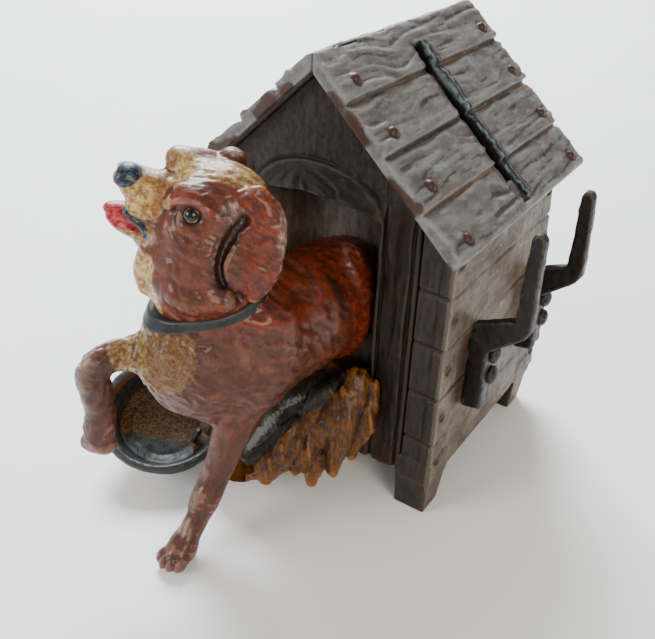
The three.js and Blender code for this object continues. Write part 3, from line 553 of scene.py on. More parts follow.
def roof_masks(casting, side):
    """Tan paint left in the joints, rust on the front ends, rust with painted shade in a band in front of the
    slot, and painted shade with painted glint lines on the slot's far wall.
    """
    distance, y, _ = casting.vertices.T
    part = distance / BOARD - np.floor(distance / BOARD)
    top = fade(casting.normals[:, 2], 0.3, 0.7)
    lower_joint = np.exp(-((part * BOARD / 1.0) ** 2)) * (distance > 2)
    patches = 0.6 + 0.6 * noise(casting.vertices, (4, 9, 4), 77 + side)
    casting.masks["tan"] = lower_joint * top * patches
    ends = fade(-y + noise(casting.vertices, 3, 5), -ROOF_FRONT - 0.6, -ROOF_FRONT + 0.6)
    slot = np.zeros(len(y))
    if side > 0:
        # The band in front of the slot is rust with painted shade in it.
        beside = np.exp(-(((y - SLOT_Y + 2.6) / 1.3) ** 2))
        slot = beside * fade(distance, SLOT_START - 2, SLOT_START)
        slot = slot * fade(-distance, -GROOVE_END, 2 - GROOVE_END)
    nails = np.zeros(len(y))
    for number in range(4):
        for nail_y in (ROOF_FRONT + 6, ROOF_BACK - 4):
            away = np.hypot(distance - (number + 0.72) * BOARD, y - nail_y)
            nails = np.maximum(nails, fade(-away, -1.9, -1.0))
    casting.masks["rust"] = np.maximum.reduce([ends, slot * 0.9, nails * 0.9])
    casting.masks["nails"] = nails
    # The slot's far wall is painted near black as shade, with pale lines painted on it as glints.
    deep = 0 * y
    if side > 0:
        far_wall = fade(y, SLOT_Y + 0.6, SLOT_Y + 1.6) * fade(-y, -SLOT_Y - 4.4, -SLOT_Y - 2.4)
        deep = far_wall * fade(distance, 5, 7) * fade(-distance, -GROOVE_END, -GROOVE_END + 2)
    slot_glint_lines = np.sin((y + noise(casting.vertices, (14, 3, 3), 79) * 0.5) * 2 * math.pi / 1.05)
    casting.masks["slot_glint_lines"] = deep * fade(slot_glint_lines, 0.1, 0.9)
    casting.masks["painted_light"] = deep


def off_slope(side):
    """Turns places on one slope into places in the kennel's frame."""

    def turn(points):
        distance, y, height = points.T
        x = distance * math.cos(SLOPE) + height * math.sin(SLOPE)
        z = RIDGE_Z - distance * math.sin(SLOPE) + height * math.cos(SLOPE)
        return np.stack([side * x, y, z], 1)

    return turn


def roof_finish():
    finish = Finish("roof_paint", coat_weight=0.12, coat_roughness=0.22, specular_ior_level=0.3)
    streaks = finish.noise(0.7, (3, 8, 3), detail=8.0, roughness=0.7)
    shade = finish.mix(finish.fade(streaks, 0.35, 0.65), "#544c47", "#696663")
    shade = finish.mix(finish.fade(finish.noise(4.0, (1, 2, 1)), 0.45, 0.7, 0.0, 0.6), shade, "#453e37")
    # Blue-grey patches are a painted sky reflection.
    painted_light = finish.fade(finish.noise(1.4, (1, 3, 1)), 0.54, 0.7, 0.0, 0.7)
    shade = finish.mix(painted_light, shade, "#6f7b7f")
    worn = finish.sum("MULTIPLY", finish.ragged("worn", 0.5, 0.45, 0.3), 0.3)
    shade = finish.mix(worn, shade, "#898e8f")
    # Painted shade and grime darken the hollows.
    hollow_shade_and_grime = finish.sum("MULTIPLY", finish.ragged("hollow", 0.8, 0.25, 0.3), 0.8)
    shade = finish.mix(hollow_shade_and_grime, shade, "#2d241d")
    shade = finish.mix(finish.ragged("tan", 0.9, 0.4, 0.2), shade, "#71583d")
    shade = finish.mix(finish.ragged("rust", 0.8, 0.4, 0.25), shade, "#381e10")
    # The slot's far wall is painted near black as shade, then given pale painted glint lines.
    shade = finish.mix(finish.ragged("painted_light", 0.8, 0.3, 0.2), shade, "#131518")
    slot_glint_lines = finish.sum("MULTIPLY", finish.mask("slot_glint_lines"), finish.fade(finish.noise(1.5), 0.3, 0.6))
    shade = finish.mix(slot_glint_lines, shade, "#748084")
    grains = finish.bump(streaks, 0.2, 0.9)
    cast = finish.bump(finish.noise(0.3, detail=3.0), 0.08, 0.9, grains)
    rough = finish.fade(finish.noise(1.1), 0.3, 0.7, 0.3, 0.52)
    return finish.paint(shade, finish.sum("ADD", rough, finish.sum("MULTIPLY", hollow_shade_and_grime, 0.2)), cast)


def join_castings(pieces):
    """One set of vertices, faces and masks out of several."""
    vertices, faces, masks, start = [], [], {}, 0
    for points, casting in pieces:
        vertices.append(points)
        faces.append(casting.faces + start)
        start += len(points)
        for name, values in casting.masks.items():
            masks.setdefault(name, []).append(values)
    return np.concatenate(vertices), np.concatenate(faces), {n: np.concatenate(v) for n, v in masks.items()}


def make_roof():
    pieces = []
    for side in (1, -1):
        low = (-4.0, ROOF_FRONT - 1, -ROOF_THICK - 1.2)
        high = (SLOPE_LENGTH + 1, ROOF_BACK + 1, 2.2)
        casting = Casting(slope_shape(side), low, high, 0.42)
        casting.weather()
        roof_masks(casting, side)
        points = off_slope(side)(casting.vertices)
        if side < 0:
            casting.faces = casting.faces[:, ::-1]
        pieces.append((points, casting))
    vertices, faces, masks = join_castings(pieces)
    mesh_piece("roof_boards", vertices, faces, masks, roof_finish(), "roof_paint", "bank", "roof")


def back_at(z):
    return DEPTH - BACK_LEAN * (z - SKIRT)


def under_roof(points, gap=0.0):
    """Negative below the underside of the roof."""
    x, _, z = points.T
    line = UNDER_RIDGE - np.abs(x) * math.tan(SLOPE) - gap
    return (z - line) * math.cos(SLOPE)


def joint_heights():
    return [FIRST_JOINT + row * JOINT_PITCH for row in range(4)]


def foot_shape(points, side, y_low):
    """A foot that narrows a little towards the ground, with rounded corners."""
    x, y, z = points.T
    inset = 0.9 * (1 - np.clip(z / 9.5, 0, 1)) + 0.5
    middle_x, half_x = side * (HALF_WIDTH - 4.6), 4.6 - inset
    middle_y, half_y = y_low + 4.25, 4.25 - inset
    out_x = np.abs(x - middle_x) - half_x
    out_y = np.abs(y - middle_y) - half_y
    flat = np.hypot(np.maximum(out_x, 0), np.maximum(out_y, 0)) + np.minimum(np.maximum(out_x, out_y), 0)
    return np.maximum.reduce([flat - 0.5, -z, z - 14])


def side_wall_shape(side):
    """A side wall with its two corner posts and feet. Boards lie along it, nailed at the ends."""

    def shape(points):
        x, y, z = points.T
        x = x * side
        mirrored = np.stack([x, y, z], 1)
        back = y - back_at(z)
        plank = np.floor((z - FIRST_JOINT) / JOINT_PITCH)
        seed = 101 if side > 0 else 131
        grain = wood_grain(y + 0.35 * z, z + plank * 17, 0 * y, seed, 1.5) * 0.16
        grain += clouds(mirrored, (6, 5, 4), seed + 3) * 0.2
        bow = noise(np.stack([y, plank * 9, 0 * y], 1), (30, 1, 1), seed) * 0.18
        face = x - HALF_WIDTH + 0.2 - grain - bow
        sheet = np.maximum.reduce([face, HALF_WIDTH - SHEET - x, -y, back, SKIRT - z])
        post_grain = wood_grain(z, x, 0 * y, seed + 7, 1.2) * 0.16
        post = np.maximum.reduce([POST_INSIDE - x, x - HALF_WIDTH + 0.1 - grain, SKIRT - z])
        front = np.maximum.reduce([post, -y - post_grain + 0.2, y - 5])
        rear = np.maximum.reduce([post, back - post_grain * 0.7 + 0.1, -5 - back])
        body = merge(merge(sheet, front, 0.4), rear, 0.4)
        for y_low in (0.1, 45.9):
            body = merge(body, foot_shape(mirrored, 1, y_low), 1.2)
        for level in joint_heights():
            wave = noise(np.stack([y, x, z], 1), (12, 12, 40), seed + 4) * 0.25
            groove = np.abs(z - level - 0.35 - wave) - 0.3
            depth_x = HALF_WIDTH - 0.28 - x
            depth_y = y - 0.5
            depth_back = -back - 0.6
            on_front, on_back = (np.maximum(depth, POST_INSIDE - x) for depth in (depth_y, depth_back))
            skin = np.minimum.reduce([depth_x, on_front, on_back])
            body = carve(body, np.maximum(groove, skin), 0.5)
        for row in range(5):
            level = FIRST_JOINT - JOINT_PITCH / 2 + row * JOINT_PITCH + 0.8
            for nail_y in (2.6, back_at(level) - 2.6):
                spot = (HALF_WIDTH, nail_y, level)
                body = carve(body, ball(mirrored, (HALF_WIDTH + 0.5, nail_y, level), (0.8, 1.4, 1.4)), 0.5)
                body = merge(body, ball(mirrored, spot, (0.55, 1.0, 1.1)), 0.3)
        return np.maximum(body, under_roof(points))

    return shape


def wall_masks(casting, side):
    x, y, z = casting.vertices.T
    facing = casting.normals[:, 0] * side
    on_post = fade(-casting.normals[:, 1], 0.35, 0.7)
    casting.masks["front"] = on_post
    inside = fade(-facing, 0.3, 0.7)
    casting.masks["bare"] = np.maximum(inside, fade(-casting.normals[:, 2], 0.5, 0.8) * 0.6)
    nails = np.zeros(len(y))
    for row in range(5):
        level = FIRST_JOINT - JOINT_PITCH / 2 + row * JOINT_PITCH + 0.8
        for nail_y in (2.6, back_at(level) - 2.6):
            away = np.hypot(y - nail_y, z - level)
            nails = np.maximum(nails, fade(-away, -1.3, -0.6))
    casting.masks["nails"] = nails * fade(facing, 0, 0.3)
    edge_wear = fade(-np.hypot(y, x * side - HALF_WIDTH), -1.4, -0.3)
    casting.masks["edge"] = edge_wear
    # A brown stripe beside the right bracket's leg is its painted shadow, and the wall is painted darker
    # towards the bottom.
    low = fade(-z, -16, -8)
    under_hook = np.exp(-(((y - 9.5) / 2.6) ** 2)) * fade(z, 22, 28) * fade(-z, -46, -40)
    casting.masks["bracket_shadow_and_low_dark"] = np.clip(under_hook * (side > 0) + 0.5 * low, 0, 1)


def wall_finish():
    finish = Finish("wall_paint", coat_weight=0.05, coat_roughness=0.3, specular_ior_level=0.2)
    streaks = finish.noise(0.9, (1, 7, 3), detail=8.0, roughness=0.7)
    shade = finish.mix(finish.fade(streaks, 0.35, 0.65), "#5e5145", "#473b31")
    shade = finish.mix(finish.fade(finish.noise(6.0, detail=3.0), 0.42, 0.66, 0.0, 0.75), shade, "#74695a")
    shade = finish.mix(finish.fade(finish.noise(2.0, (1, 3, 1)), 0.56, 0.7, 0.0, 0.6), shade, "#3c2b20")
    scratch = finish.fade(finish.noise(0.5, (1, 12, 9), detail=2.0), 0.66, 0.72, 0.0, 0.6)
    shade = finish.mix(scratch, shade, "#8c7f6f")
    # Painted shadow of the bracket, and darker paint towards the bottom.
    shade = finish.mix(finish.sum("MULTIPLY", finish.ragged("bracket_shadow_and_low_dark", 1.4, 0.4, 0.3), 0.7), shade, "#361f13")
    front = finish.mix(finish.fade(finish.noise(0.8, (1, 1, 5)), 0.35, 0.65), "#31261f", "#201a16")
    shade = finish.mix(finish.ragged("front", 0.5, 0.2, 0.2), shade, front)
    worn = finish.sum("MULTIPLY", finish.ragged("worn", 0.5, 0.35, 0.2), 0.3)
    shade = finish.mix(worn, shade, finish.mix(finish.mask("front"), "#877c6c", "#4c4238"))
    shade = finish.mix(finish.sum("MULTIPLY", finish.ragged("edge", 0.6, 0.6, 0.2), 0.3), shade, "#766c5f")
    # Painted shade and grime darken the hollows.
    hollow_shade_and_grime = finish.sum("MULTIPLY", finish.ragged("hollow", 0.8, 0.25, 0.35), 0.85)
    shade = finish.mix(hollow_shade_and_grime, shade, "#150f0b")
    shade = finish.mix(finish.sum("MULTIPLY", finish.ragged("nails", 0.5, 0.4, 0.2), 0.85), shade, "#1a120d")
    shade = finish.mix(finish.ragged("bare", 1.5, 0.3, 0.3), shade, "#25201c")
    grains = finish.bump(streaks, 0.16, 0.8)
    cast = finish.bump(finish.noise(0.28, detail=3.0), 0.07, 0.9, grains)
    rough = finish.fade(finish.noise(1.2), 0.3, 0.7, 0.36, 0.6)
    return finish.paint(shade, rough, cast)


def make_side_walls(finish):
    for side, word in ((1, "right"), (-1, "left")):
        xs = sorted((side * (POST_INSIDE - 1), side * (HALF_WIDTH + 1)))
        casting = Casting(side_wall_shape(side), (xs[0], -1.5, -1), (xs[1], DEPTH + 1.5, 71), 0.38)
        casting.weather()
        wall_masks(casting, side)
        casting.build(f"{word}_wall_boards", finish, "wall_paint", "bank", f"{word}_wall")


def door_shape(points):
    """The doorway: upright sides and a slightly arched head."""
    x, _, z = points.T
    head = DOOR_SHOULDER + DOOR_RISE * (1 - (x / DOOR_HALF) ** 2)
    return np.maximum.reduce([np.abs(x) - DOOR_HALF, z - head, DOOR_SILL - z])


def band_places(points):
    """Distance inside the arched board's outer edge, and place along it."""
    x, _, z = points.T
    rise = z - DOOR_SHOULDER + 0.4
    share = np.hypot(x / BAND_HALF, rise / BAND_RISE)
    return (share - 1) * BAND_RISE, np.arctan2(rise / BAND_RISE, x / BAND_HALF) * BAND_HALF


def front_wall_shape(points):
    x, y, z = points.T
    edge = POST_INSIDE - 0.3
    pitch = 6.1
    plank = np.floor((x + pitch / 2) / pitch)
    grain = wood_grain(z, x + plank * 13, 0 * y, 201, 0.85) * 0.3
    rough = clouds(points, (3, 3, 5), 207) * 0.2
    gable = fade(z, 66, 72)
    surface = -y - 0.1 - grain * (1 - 0.8 * gable) - rough
    sheet = np.maximum.reduce([surface, y - SHEET, np.abs(x) - edge, 9.8 - z])
    joint = np.abs((x + pitch / 2) / pitch - plank - 0.5)
    joint = (0.5 - joint) * pitch - 0.3 + noise(points, (3, 3, 8), 211) * 0.15
    groove = np.maximum(joint, y - 0.7) + gable * 0.4
    sheet = carve(sheet, groove, 0.5)
    outside, along = band_places(points)
    ring = wood_grain(along, outside, 0 * y, 221, 1.1) * 0.34
    band = np.maximum.reduce([outside, -y - BAND_PROUD + 0.5 - ring, y - SHEET, DOOR_SHOULDER - 0.4 - z])
    body = merge(sheet, band, 0.35)
    body = carve(body, door_shape(points) + noise(points, (4, 4, 5), 231) * 0.15, 0.5)
    return np.maximum(body, under_roof(points))


def front_masks(casting):
    x, _, z = casting.vertices.T
    outside, _ = band_places(casting.vertices)
    casting.masks["band"] = fade(-outside, -0.3, 0.5) * fade(z, DOOR_SHOULDER - 1, DOOR_SHOULDER)
    casting.masks["gable"] = fade(z, 66, 74) * (1 - casting.masks["band"])
    casting.masks["bare"] = fade(casting.normals[:, 1], 0.3, 0.7)
    casting.masks["rust"] = fade(-z, -18, -9) + fade(-np.abs(np.abs(x) - 17), -5, -1) * 0.3


def front_finish():
    finish = Finish("front_paint", coat_weight=0.04, coat_roughness=0.25, specular_ior_level=0.14)
    streaks = finish.noise(0.6, (1, 1, 9), detail=8.0, roughness=0.7)
    shade = finish.mix(finish.fade(streaks, 0.35, 0.65), "#231710", "#140e0a")
    shade = finish.mix(finish.fade(finish.noise(5.0), 0.5, 0.68, 0.0, 0.6), shade, "#2c1d10")
    gable = finish.mix(finish.fade(finish.noise(0.8, (1, 1, 2)), 0.35, 0.65), "#322b26", "#211c19")
    shade = finish.mix(finish.ragged("gable", 2.0, 0.3, 0.4), shade, gable)
    band = finish.mix(finish.fade(finish.noise(1.0, (3, 1, 2)), 0.35, 0.65), "#2c241f", "#1c1713")
    shade = finish.mix(finish.mask("band"), shade, band)
    shade = finish.mix(finish.sum("MULTIPLY", finish.ragged("rust", 1.5, 0.4, 0.4), 0.6), shade, "#321a0e")
    worn = finish.sum("MULTIPLY", finish.ragged("worn", 0.5, 0.35, 0.2), 0.3)
    shade = finish.mix(worn, shade, "#4c4138")
    # Painted shade and grime darken the hollows.
    hollow_shade_and_grime = finish.sum("MULTIPLY", finish.ragged("hollow", 0.8, 0.25, 0.35), 0.85)
    shade = finish.mix(hollow_shade_and_grime, shade, "#070503")
    shade = finish.mix(finish.ragged("bare", 1.5, 0.3, 0.3), shade, "#1f1915")
    grains = finish.bump(streaks, 0.14, 0.8)
    cast = finish.bump(finish.noise(0.28, detail=3.0), 0.06, 0.9, grains)
    rough = finish.fade(finish.noise(1.2), 0.3, 0.7, 0.34, 0.56)
    return finish.paint(shade, rough, cast)


def make_front_wall():
    casting = Casting(front_wall_shape, (-24, -2.4, 8.5), (24, SHEET + 1, 93), 0.36)
    casting.weather()
    front_masks(casting)
    casting.build("front_planks", front_finish(), "front_paint", "bank", "front_wall")


def back_wall_shape(points):
    x, y, z = points.T
    depth = y - back_at(z)
    pitch = 9.2
    plank = np.floor((x + pitch / 2) / pitch)
    grain = wood_grain(z, x + plank * 13, 0 * y, 251, 1.1) * 0.22
    rough = clouds(points, (3, 3, 5), 257) * 0.2
    edge = np.abs(x) - POST_INSIDE + 0.3
    sheet = np.maximum.reduce([depth + 0.35 - grain - rough, -SHEET - depth, edge, 9.8 - z])
    joint = np.abs((x + pitch / 2) / pitch - plank - 0.5)
    joint = (0.5 - joint) * pitch - 0.3 + noise(points, (3, 3, 8), 261) * 0.15
    sheet = carve(sheet, np.maximum(joint, -depth - 0.9), 0.5)
    return np.maximum(sheet, under_roof(points))


def make_back_wall(finish):
    casting = Casting(back_wall_shape, (-24, 36, 8.5), (24, DEPTH + 1, 93), 0.45)
    casting.weather()
    blank = np.zeros(len(casting.vertices))
    for name in ("nails", "edge", "bracket_shadow_and_low_dark"):
        casting.masks[name] = blank
    casting.masks["front"] = blank + 1
    casting.masks["bare"] = fade(-casting.normals[:, 1], 0.3, 0.7)
    casting.build("back_planks", finish, "wall_paint", "bank", "back_wall")


# ---------------------------------------------------------------- the dog

# The head has its own frame: forward along the muzzle, right to the dog's right, and up.
HEAD = np.array([-6.0, -21.0, 70.5])
HEAD_TURN, HEAD_PITCH, HEAD_ROLL = (math.radians(a) for a in (50, 18, 12))
LEVEL = (0, 1, 0)


def head_axes():
    flat = math.cos(HEAD_PITCH)
    ahead = np.array([-math.sin(HEAD_TURN) * flat, -math.cos(HEAD_TURN) * flat, math.sin(HEAD_PITCH)])
    level = np.array([-math.cos(HEAD_TURN), math.sin(HEAD_TURN), 0])
    right = level * math.cos(HEAD_ROLL) - np.cross(ahead, level) * math.sin(HEAD_ROLL)
    return np.stack([ahead, right, np.cross(right, ahead)], 1)


HEAD_AXES = head_axes()
COLLAR = np.array([-5.75, -25.0, 55.4])
COLLAR_AXIS = np.array([-0.118, -0.157, 0.981])
NECK_ACROSS = (0.8, 0.6, 0)
BODY_ACROSS = (0.975, -0.223, 0)
NEAR_EAR = [
    (2.2, -22.4, 76.0, 2.4, 1.5),
    (3.8, -22.3, 72.5, 4.0, 1.9),
    (4.6, -23.0, 67.5, 4.2, 1.9),
    (4.6, -24.5, 62.6, 3.5, 1.7),
    (4.2, -25.6, 58.8, 1.7, 1.2),
]
EAR_GROOVE = [
    (2.0, -25.0, 72.2, 0.4, 0.6),
    (1.0, -27.6, 69.2, 0.6, 1.0),
    (0.6, -29.4, 66.2, 0.5, 1.0),
    (0.9, -30.0, 63.6, 0.4, 0.8),
    (1.7, -29.4, 61.2, 0.3, 0.5),
    (3.0, -27.9, 59.0, 0.2, 0.3),
]
BROW_ARCH = [(9.2, -5.6, 2.6), (8.0, -6.2, 4.4), (6.0, -6.6, 5.6), (3.6, -6.9, 5.6), (1.2, -7.4, 4.4)]
UNDER_EYE = [(8.0, -6.4, -0.4), (5.4, -7.4, -1.2), (2.4, -7.9, -1.3), (-0.4, -7.9, -0.2)]
CHEEK_CREASE = [(11.0, -5.2, -3.4), (8.6, -6.6, -3.8), (6.0, -7.6, -5.4), (4.4, -7.6, -8.0)]
LIP_LINE = [(15.4, -3.4, -3.0), (13.6, -4.3, -3.8), (11.6, -5.0, -4.4), (9.4, -6.2, -5.2), (8.0, -6.6, -6.4)]
NECK = [
    (-3.8, -20, 46, 11.5, 10),
    (-5.6, -24.5, 54.5, 10.2, 9.6),
    (-6.6, -25.5, 62, 10.2, 9.8),
    (-6, -22.5, 69, 8.4, 8.4),
]
EYE_RADIUS = 1.75
EYES = [(5.1, -7.3, 2.7), (5.9, 7.0, 1.9)]


def in_head(points):
    return (points - HEAD) @ HEAD_AXES


def line_near(points, line, wide, deep):
    """A groove or ridge along a line, given its half width and half depth."""
    return limb(points, [(*station, wide, deep) for station in line], (0, 0, 1))


def face_shape(q):
    """Skull, muzzle, jaw and what is carved on them, in the head's frame."""
    both = q.copy()
    both[:, 1] = np.abs(q[:, 1])
    face = ball(q, (0, 0, 0), (9.6, 8.2, 8.9))
    face = merge(face, ball(both, (0.5, 5.0, -4.5), (7, 4.6, 6.2)), 3)
    face = merge(face, ball(q, (4, 0, -4), (5.5, 5, 5.5)), 3)
    muzzle = [(4, 0, -1.8, 6.6, 5.8), (8, 0, -1.2, 5.3, 4.8), (12, 0, 0.0, 4.2, 3.7)]
    muzzle.append((15.3, 0, 0.8, 3.4, 2.9))
    face = merge(face, limb(q, muzzle, LEVEL), 1.6)
    face = merge(face, ball(both, (12.2, 2.7, -1.9), (3.8, 2.2, 2.2)), 1.2)
    face = merge(face, ball(q, (8.0, 4.2, 4.9), (3.5, 2.8, 2.5)), 2.2)
    face = merge(face, ball(q, (5.8, -4.8, 5.0), (3.4, 2.4, 2.0)), 1.8)
    face = merge(face, ball(q, (2.0, -6.6, 1.0), (3.0, 1.6, 2.2)), 1.6)
    for f, r, u in EYES:
        side = math.copysign(1, r)
        face = carve(face, ball(q, (f + 0.2, r + side * 1.9, u + 0.4), (3.0, 2.2, 2.3)), 0.8)
        rim = ring_shape(q, (f, r + side * 0.7, u + 0.3), (0.25, side, 0.5), 2.15, 0.42)
        face = merge(face, rim, 0.6)
    mirrored = both * (1, -1, 1)
    face = merge(face, line_near(mirrored, BROW_ARCH, 0.9, 1.5), 1.3)
    face = merge(face, line_near(mirrored, UNDER_EYE, 0.7, 1.3), 1.3)
    face = carve(face, line_near(mirrored, CHEEK_CREASE, 0.5, 1.2), 1.0)
    jaw = [(2, 0, -8, 5.4, 3), (9, 0, -8.7, 3.9, 1.9), (15.0, 0, -8.0, 3.0, 1.5), (17.6, 0, -6.8, 2.2, 1.2)]
    face = merge(face, limb(q, jaw, LEVEL), 1.4)
    face = carve(face, ball(q, (15.8, 0, -4.6), (7.6, 2.6, 1.6)), 0.5)
    face = merge(face, ball(q, (13.9, 0, -5.8), (5.6, 2.5, 1.5)), 0.4)
    face = merge(face, line_near(mirrored, LIP_LINE, 0.7, 0.9), 0.8)
    corner = [(7.2, -5.8, -8.2, 1.2, 1.2), (9.8, -4.6, -8.6, 0.9, 1.0), (12.4, -3.5, -8.0, 0.6, 0.8)]
    face = merge(face, limb(q, corner, LEVEL), 0.8)
    nose = ball(q, (16.4, -0.2, 2.0), (2.3, 2.6, 2.2))
    nose = merge(nose, ball(both, (17.2, 1.7, 1.7), (1.6, 1.3, 1.3)), 0.8)
    nose = carve(nose, ball(both, (18.9, 1.1, 1.7), (0.9, 0.55, 0.5)), 0.4)
    face = merge(face, ball(q, (17.2, 1.9, -0.4), (1.9, 1.8, 1.9)), 0.8)
    return merge(face, nose, 0.5)


def ring_shape(points, centre, axis, radius, thickness):
    axis = np.asarray(axis, float) / np.linalg.norm(axis)
    away = points - np.asarray(centre, float)
    along = away @ axis
    flat = np.sqrt(np.maximum(np.einsum("ij,ij->i", away, away) - along**2, 0))
    return np.hypot(flat - radius, along) - thickness


def head_shape(points):
    q = in_head(points)
    neck = limb(points, NECK, NECK_ACROSS)
    head = merge(face_shape(q), neck, 3.0)
    head = merge(head, limb(points, NEAR_EAR, (0.84, 0.54, 0)), 1.0)
    head = carve(head, limb(points, EAR_GROOVE, (0.84, 0.54, 0)), 1.8)
    far = HEAD + HEAD_AXES @ np.array([0.2, 7.2, 6.2])
    folded = [(*far, 2.6, 2.0), (far[0] - 3, far[1] + 2, far[2] - 4, 3.8, 1.8)]
    folded.append((far[0] - 4, far[1] + 2.4, far[2] - 14, 3.4, 1.5))
    head = merge(head, limb(points, folded, (0.75, 0.65, 0)), 0.8)
    fold = [(-9.5, -33.5, 61.5, 2.4, 2.2), (-3.5, -34.0, 59.4, 2.6, 2.2), (2.0, -30.2, 59.4, 2.2, 2.0)]
    head = merge(head, limb(points, fold, (0, 0, 1)), 1.0)
    beard = [(-12.4, -33.2, 66.0, 1.6, 1.4), (-13.6, -33.6, 61.5, 1.9, 1.6), (-13.2, -33.4, 58.4, 1.6, 1.5)]
    head = merge(head, limb(points, beard, (0.7, -0.7, 0)), 1.6)
    below = -((points - COLLAR) @ COLLAR_AXIS)
    return np.maximum(head + clouds(points, 3.0, 301) * 0.16, below)


def body_shape(points):
    torso = [
        (1.4, 13.5, 44, 8.5, 9.5),
        (1.6, 6, 45.2, 10.0, 11.0),
        (1.8, -3, 45.8, 10.6, 12.3),
        (-0.4, -11, 45, 11.6, 13.4),
        (-4, -21, 44, 11.6, 13.6),
        (-6.8, -28, 44.5, 9.8, 12),
    ]
    body = limb(points, torso, BODY_ACROSS)
    body = merge(body, limb(points, NECK, NECK_ACROSS), 3)
    body = merge(body, ball(points, (-8.4, -30.8, 44.2), (8.6, 7.8, 11.4)), 3)
    body = merge(body, ball(points, (-6, -25, 34.5), (6.6, 7.4, 7.0)), 3)
    shoulder = [(4.8, -21.5, 52, 4.2, 5.5), (5.6, -21.0, 44, 4.4, 6.2), (2.2, -21.5, 36, 4.4, 5.6)]
    body = merge(body, limb(points, shoulder, BODY_ACROSS), 2.5)
    body = merge(body, ball(points, (5.8, 1.5, 45.2), (7.0, 7.6, 13.2)), 0.7)
    standing = [
        (1.2, -17.5, 40, 5.3, 7.2),
        (-0.9, -22.4, 31, 4.6, 5.3),
        (-2.5, -25.8, 22.5, 3.4, 3.9),
        (-3.5, -29.0, 15.5, 2.7, 3.2),
        (-4.0, -31.6, 11.2, 3.0, 3.3),
        (-4.3, -34.0, 7.6, 2.4, 2.7),
        (-4.6, -37.4, 4.2, 2.6, 2.5),
    ]
    body = merge(body, limb(points, standing, BODY_ACROSS), 2)
    body = merge(body, paw_shape(points), 1.2)
    raised = [
        (-11.5, -25, 41, 5.0, 5.6),
        (-15.6, -34, 43.6, 3.5, 3.8),
        (-17.6, -40.0, 45.0, 3.2, 3.4),
        (-18.8, -42.6, 43.0, 3.4, 3.5),
        (-19.1, -42.6, 38.5, 3.1, 3.3),
        (-19.2, -42.4, 33, 2.9, 3.0),
        (-19.3, -42.8, 29.6, 3.4, 3.2),
        (-19.4, -43.4, 27.4, 3.2, 3.0),
    ]
    body = merge(body, limb(points, raised, BODY_ACROSS), 2)
    body = merge(body, ball(points, (-20.6, -44.4, 26.9), (2.0, 2.2, 2.0)), 0.6)
    body = merge(body, ball(points, (-17.6, -43.4, 26.7), (1.9, 2.2, 2.0)), 0.6)
    above = (points - COLLAR) @ COLLAR_AXIS
    behind = points[:, 1] - 12.5
    ground = -points[:, 2] + 0.02
    return np.maximum.reduce([body + clouds(points, 3.5, 311) * 0.2, above, behind, ground])


def paw_shape(points):
    """The standing paw, with four toes parted by grooves."""
    paw = ball(points, (-4.5, -39.0, 2.7), (3.1, 3.9, 2.9))
    for offset, reach in ((-2.3, 0.0), (-0.8, 1.0), (0.9, 1.0), (2.4, -0.2)):
        toe = ball(points, (-4.6 + offset, -41.6 - reach * 0.7, 1.9), (0.95, 2.1, 1.8))
        paw = merge(paw, toe, 0.35)
    return paw


def collar_shape(points):
    """A strap around the neck with a rounded edge."""
    above = (points - COLLAR) @ COLLAR_AXIS
    neck = limb(points, NECK, NECK_ACROSS)
    chest = ball(points, (-8.4, -30.8, 44.2), (8.6, 7.8, 11.4))
    body = merge(neck, chest, 3)
    waver = noise(points, 5, 321) * 0.2
    strap = np.hypot(np.maximum(np.abs(above + waver) - 0.75, 0), np.maximum(body - 0.1, 0)) - 0.35
    return np.maximum(strap, -1.2 - body)


class Strokes:
    """Short grooves laid over a casting along the way the hair lies."""

    def __init__(self, casting, seed):
        self.casting = casting
        self.random = np.random.default_rng(seed)
        self.tree = kdtree.KDTree(len(casting.vertices))
        for index, point in enumerate(casting.vertices):
            self.tree.insert(point, index)
        self.tree.balance()
        self.depth = np.zeros(len(casting.vertices))

    def lay(self, chosen, flow, count, reach, width, depth, turn=0.25):
        """Lays count grooves over the chosen vertices. flow gives the hair's way at a point."""
        starts = self.random.choice(np.flatnonzero(chosen), count)
        pace = 0.45
        for start in starts:
            point = self.casting.vertices[start]
            sway = self.random.normal(0, turn)
            steps = int(reach * self.random.uniform(0.6, 1.3) / pace)
            index = start
            for step in range(steps):
                normal = self.casting.normals[index]
                way = flow(point)
                way = way + np.cross(normal, way) * (sway + 0.25 * math.sin(step * 0.35 + start))
                way = way - normal * (way @ normal)
                way = way / max(np.linalg.norm(way), 1e-6)
                _, index, _ = self.tree.find(point + way * pace)
                point = self.casting.vertices[index]
                taper = math.sin(math.pi * (step + 0.7) / (steps + 0.4))
                for _, near, distance in self.tree.find_range(point, width):
                    mark = depth * taper * (1 - (distance / width) ** 2)
                    self.depth[near] = max(self.depth[near], mark)

    def press(self):
        self.casting.masks["groove"] = fade(self.depth, 0.02, 0.16)
        self.casting.push(-self.depth)


def blob(points, centre, radii, turn=None, soft=1.0):
    """A painted patch: 1 inside an ellipsoid and 0 outside, fading over soft millimetres."""
    return fade(-ball(points, centre, radii, turn), -soft, soft)


